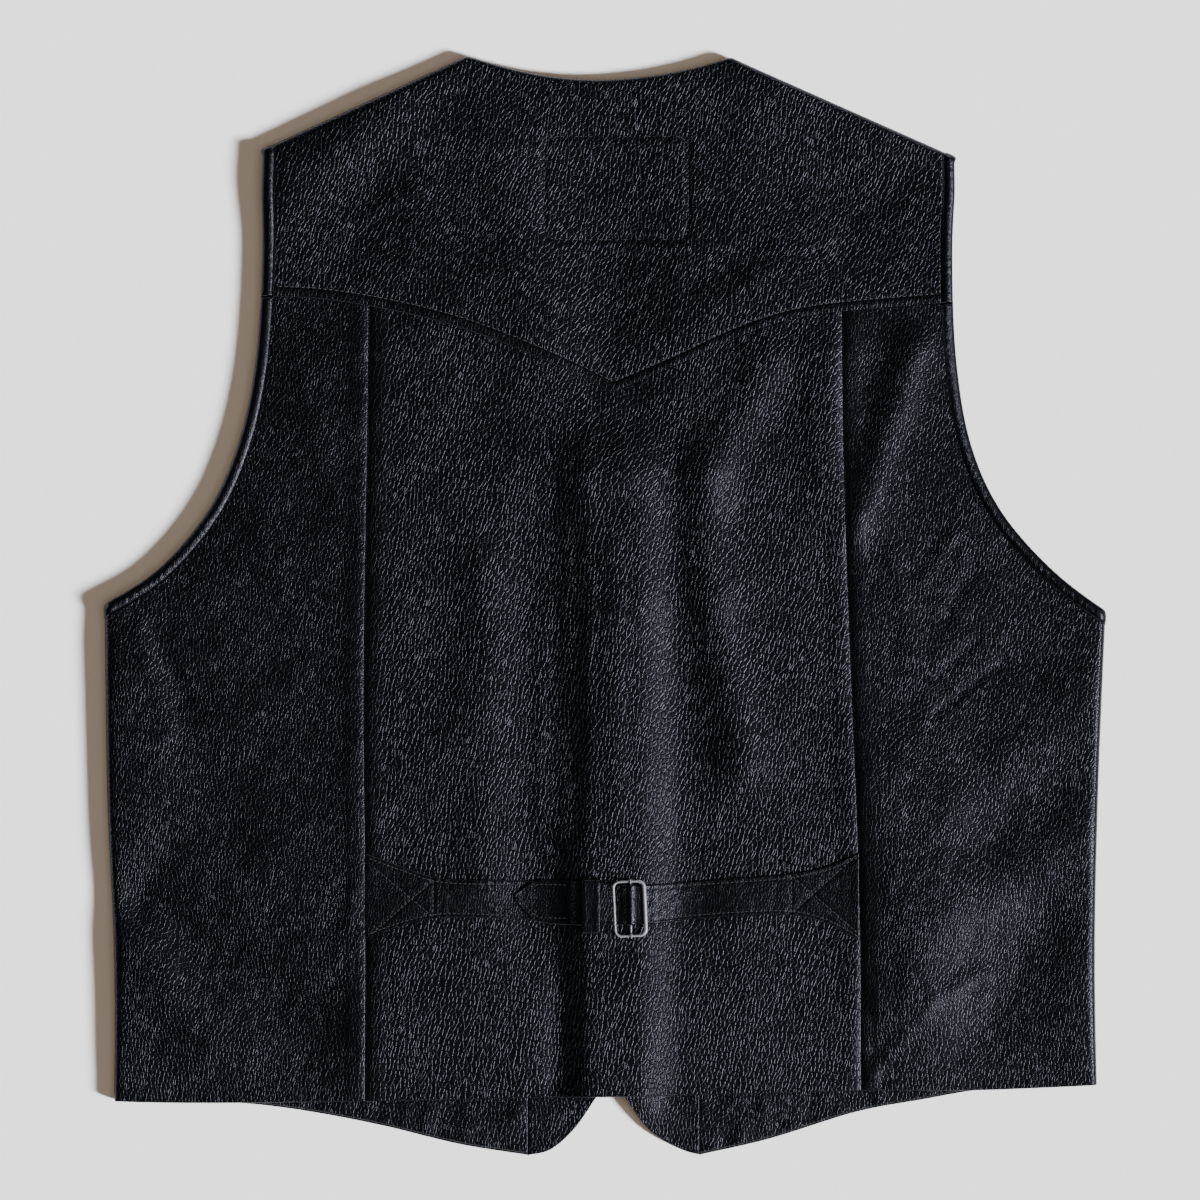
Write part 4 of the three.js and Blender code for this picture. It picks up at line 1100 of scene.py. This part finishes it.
def swept(name, points, cross, material, closed=True, up=(0.0, 0, 1)):
    """A tube with the given cross-section (offsets to the side and up) along points, in millimetres."""
    points = np.asarray(points, float)
    count, around = len(points), cross.shape[-2]
    ahead = np.roll(points, -1, 0) - np.roll(points, 1, 0)
    if not closed:
        ahead[0], ahead[-1] = points[1] - points[0], points[-1] - points[-2]
    ahead /= np.linalg.norm(ahead, axis=1)[:, None]
    up = np.broadcast_to(up, points.shape)
    aside = np.cross(ahead, up)
    aside /= np.linalg.norm(aside, axis=1)[:, None]
    cross = np.broadcast_to(cross, (count, around, 2))
    ring = points[:, None] + aside[:, None] * cross[..., :1] + up[:, None] * cross[..., 1:]
    return new_object(name, ring.reshape(-1, 3), tube_faces(count, around, closed), material)


def circle(radius, count=14):
    angle = np.linspace(0, 2 * np.pi, count, endpoint=False)
    return joined(radius * np.cos(angle), radius * np.sin(angle))


def keeper():
    wall, base, top = KEEPER["wall"], KEEPER["base"], KEEPER["top"]
    ring = rounded_rectangle(KEEPER["low"] - wall / 2, KEEPER["high"] + wall / 2, base - wall / 2,
                             top + wall / 2, 0.9, 6)
    shares = np.linspace(0, 1, 150)
    around = ring.at(shares)
    x = KEEPER["x"] + KEEPER["wide"] * spaced(KEEPER["wide"], 0.6)
    ground = back_top(KEEPER["x"] + KEEPER["wide"], (KEEPER["low"] + KEEPER["high"]) / 2)
    grid = joined(x[None], around[:, :1], around[:, 1:] + ground)
    from_edge = np.minimum(x - x[0], x[-1] - x)
    fine = 0.03 * waves(grid[..., 1] + grid[..., 2], x[None], 91, 2, 7)
    piece = shell("strap_keeper", grid, trim_leather, thick=wall, press=0.5, radius=ROUND["keeper"],
                  uv=joined(grid[..., 0], (ring.length * shares)[:, None]), edges="start end",
                  lift=trough(from_edge - 1.7, 0.5, 0.12)[None] + fine)
    slotted(piece, "leather_trim", "keeper")


def buckle():
    ground = float(back_top(BAR["x"], BAR["y"]))
    centre = np.array([FRAME["x"], BAR["y"], ground + FRAME["height"]])
    inset = FRAME["wire"] / 2
    ring = rounded_rectangle(FRAME["x1"] + inset, FRAME["x2"] - inset - 0.3, FRAME["y1"] + inset,
                             FRAME["y2"] - inset, FRAME["corner"] - inset, 12)
    flat = ring.at(np.linspace(0, 1, 160, endpoint=False))
    across, along = flat[:, 0], flat[:, 1]
    cos, sin = np.cos(FRAME["tilt"]), np.sin(FRAME["tilt"])
    turned = joined(across * cos - along * sin, across * sin + along * cos, 0.0)
    thick = np.where(across > FRAME["x2"] - 3, FRAME["bar"] / 2, FRAME["wire"] / 2)
    thick = np.convolve(np.concatenate([thick[-4:], thick, thick[:4]]), np.ones(9) / 9, "valid")
    cross = circle(1.0)[None] * joined(thick, FRAME["wire"] / 2)[:, None]
    slotted(swept("buckle_ring", turned + centre, cross, wire), "buckle_metal", "buckle_frame")

    end = FRAME["y2"] - FRAME["wire"] - GAP
    bar_points = joined(BAR["x"], BAR["y"] + np.linspace(-end, end, 24), ground + BAR["height"])
    bar = swept("buckle_rod", bar_points, circle(BAR["radius"]), wire, closed=False)
    slotted(bar, "buckle_metal", "buckle_bar")

    angle = np.linspace(0, 2 * np.pi, 20, endpoint=False)
    for name, way in (("lower", -1), ("upper", 1)):
        loop = joined(
            BAR["x"] - CLAMP["off"] * way,
            BAR["y"] + way * (FRAME["y2"] - inset) + CLAMP["wide"] * np.cos(angle),
            ground + FRAME["height"] - CLAMP["drop"] + CLAMP["tall"] * np.sin(angle),
        )
        clamp = swept(f"buckle_clamp_{name}", loop, circle(CLAMP["wire"], 10), wire, up=(1.0, 0, 0))
        slotted(clamp, "buckle_metal")


# Sewing
def stitches(name, points, length, pitch, thick):
    """Stitches along points on a surface, as short half-sunk threads, in one piece."""
    line = Path(points)
    count = max(int(line.length / pitch), 1)
    around, rings = 6, 5
    angle = 2 * np.pi * np.arange(around)[:, None] / around
    up = np.array([0, 0, 1.0])
    bow = np.sin(np.linspace(0, np.pi, rings))
    radius = thick * (0.55 + 0.45 * bow)[:, None, None]
    draw = np.random.default_rng(len(line.points) + count)
    verts, faces = [], []
    for k in range(count):
        middle = (k + 0.5) * line.length / count
        half = length * draw.uniform(0.9, 1.05) / 2
        along = np.linspace(middle - half, middle + half, rings)
        spine = np.stack([np.interp(along, line.lengths, line.points[:, i]) for i in range(3)], -1)
        spine[:, 2] += thick * (0.55 * bow - 0.35)
        ahead = spine[-1] - spine[0]
        aside = np.cross(ahead / np.linalg.norm(ahead), up)
        aside /= np.linalg.norm(aside)
        ring = aside * np.cos(angle) + up * np.sin(angle)
        verts.append((spine[:, None] + radius * ring).reshape(-1, 3))
        faces += tube_faces(rings, around, first=k * rings * around)
    slotted(new_object(name, np.vstack(verts), faces, thread), "leather_trim")


def on_yoke(plane):
    x, y = plane[:, 0], plane[:, 1]
    return joined(x, y, yoke_height(x, y) + yoke_relief(x, y) + LEATHER / 2)


# Length, pitch and thickness of the stitches
YOKE_SEWING = 2.3, 3.1, 0.26
LABEL_SEWING = 2.0, 2.7, 0.24
STRAP_SEWING = 1.9, 2.6, 0.2
TONGUE_SEWING = 1.8, 2.5, 0.18


def sew_yoke():
    for side in OUT:
        points = Path.through(YOKE_SEAM[side]).beside(-STITCH_IN).at(np.linspace(0, 1, 400))
        clear = yoke_seam.distance(points[:, 0], points[:, 1]) > STITCH_IN - 0.05
        inside = OUT[side] * points[:, 0] < YOKE_CORNER_X - 6
        stitches(f"yoke_topstitch_{side}", on_yoke(points[clear & inside]), *YOKE_SEWING)
    stitches("label_stitch", on_yoke(label_line.at(np.linspace(0, 1, 300))), *LABEL_SEWING)


def on_strap(side, points):
    """Points of a row of stitches on the strap's upper face."""
    x, y = points[:, 0], points[:, 1]
    route = sorted(p for p in STRAP_ROUTE[side] if side == "right" or p[0] < -19)
    height = np.interp(x, [p[0] for p in route], [p[1] for p in route])
    return joined(x, y, back_top(x, y) + height + STRAP / 2 - 0.1)


def sew_strap():
    for side, start, end in (("left", -132.6, -54), ("right", 140.8, 30)):
        x = np.linspace(start, end, 160)
        for name, edge, way in (("lower", strap_low, 1), ("upper", strap_high, -1)):
            row = joined(x, edge[side].height(x) + way * STRAP_HEM)
            stitches(f"strap_stitch_{name}_{side}", on_strap(side, row), *STRAP_SEWING)
        for number, (x1, y1, x2, y2) in enumerate(STRAP_ROWS[side], start=1):
            share = np.linspace(0, 1, 40)
            row = joined(lerp(x1, x2, share), lerp(y1, y2, share))
            stitches(f"strap_row_{number}_{side}", on_strap(side, row), *STRAP_SEWING)
    tongue = Path(TONGUE_ROW).at(np.linspace(0, 1, 120))
    stitches("tongue_stitch", on_strap("right", tongue), *TONGUE_SEWING)


for side in OUT:
    front(side)
    back_side(side)
    band_on_side(side)
    band_on_yoke(side)
    strap(side)
back_centre()
back_yoke()
keeper()
buckle()
sew_yoke()
sew_strap()


# Floor, light and camera
FLOOR_SIZE = 4
FLOOR_LOW = -0.3 * MM  # just below the flat underside


def floor():
    mesh = bpy.data.meshes.new("floor")
    ends = ((-1, -1), (1, -1), (1, 1), (-1, 1))
    mesh.from_pydata([(x * FLOOR_SIZE, y * FLOOR_SIZE, FLOOR_LOW) for x, y in ends], [], [(0, 1, 2, 3)])
    material, tree, shader = new_material("floor")
    fill(tree, shader, {"Base Color": (0.9, 0.9, 0.9, 1), "Roughness": 0.9})
    mesh.materials.append(material)
    piece = bpy.data.objects.new("floor", mesh)
    bpy.context.scene.collection.objects.link(piece)


def sun_light(name, place, spread, strength, colour, shine):
    """Even light from a direction, as soft as a source that spreads over the given angle.

    It only makes things shine, or only lights them dully.
    """
    light = bpy.data.lights.new(name, "SUN")
    light.angle = spread
    light.energy = strength
    light.color = colour
    lamp = bpy.data.objects.new(name, light)
    lamp.location = place
    lamp.visible_glossy = shine
    lamp.visible_diffuse = not shine
    lamp.rotation_euler = (-Vector(place)).to_track_quat("-Z", "Y").to_euler()
    bpy.context.scene.collection.objects.link(lamp)


CAMERA_HEIGHT = 3.2
VIEW_WIDTH = 0.672
CAMERA_X, CAMERA_Y = -3.1, 2.7


def camera():
    lens = bpy.data.cameras.new("camera")
    lens.sensor_width = 36
    lens.lens = 36 * CAMERA_HEIGHT / VIEW_WIDTH
    eye = bpy.data.objects.new("camera", lens)
    x, y = (np.array([CAMERA_X, CAMERA_Y]) - MIDDLE[:2]) * MM
    eye.location = (x, y, CAMERA_HEIGHT)
    bpy.context.scene.collection.objects.link(eye)
    bpy.context.scene.camera = eye


def surroundings():
    """A faint light from all round, which grows towards the horizon."""
    world = bpy.data.worlds.new("world")
    world.use_nodes = True
    tree = world.node_tree
    toward = node(tree, "ShaderNodeTexCoord").outputs["Generated"]
    upward = node(tree, "ShaderNodeSeparateXYZ", Vector=toward).outputs["Z"]
    low = remap(tree, upward, 0.7, 0.0)
    glow = math_node(tree, "MULTIPLY", math_node(tree, "MULTIPLY", low, low), HORIZON_GLOW)
    fill(tree, tree.nodes["Background"], {
        "Color": (0.75, 0.78, 0.82, 1),
        "Strength": math_node(tree, "ADD", glow, SKY_GLOW),
    })
    bpy.context.scene.world = world


HORIZON_GLOW, SKY_GLOW = 0.12, 0.03
WHITE, COOL = (1.0, 1.0, 1.0), (0.94, 0.97, 1.0)

floor()
sun_light("window", (1.2, -0.44, 1.58), 0.38, 3.5, WHITE, shine=True)
# Low lights that only shine: they bring out the grain from the sides, and hardly show from above
sun_light("left_rim", (-1.7, 0.6, 0.6), 0.5, 0.7, COOL, shine=True)
sun_light("near_rim", (-0.5, -1.75, 0.6), 0.5, 0.7, WHITE, shine=True)
sun_light("far_rim", (0.5, 1.75, 0.6), 0.5, 0.7, COOL, shine=True)
sun_light("low_key", (2.0, -0.8, 0.85), 0.17, 18.4, (0.975, 0.99, 1.02), shine=False)
sun_light("bounce", (0.0, 0.0, 2.0), 1.5, 0.7, (1.0, 0.74, 0.5), shine=False)
surroundings()
camera()
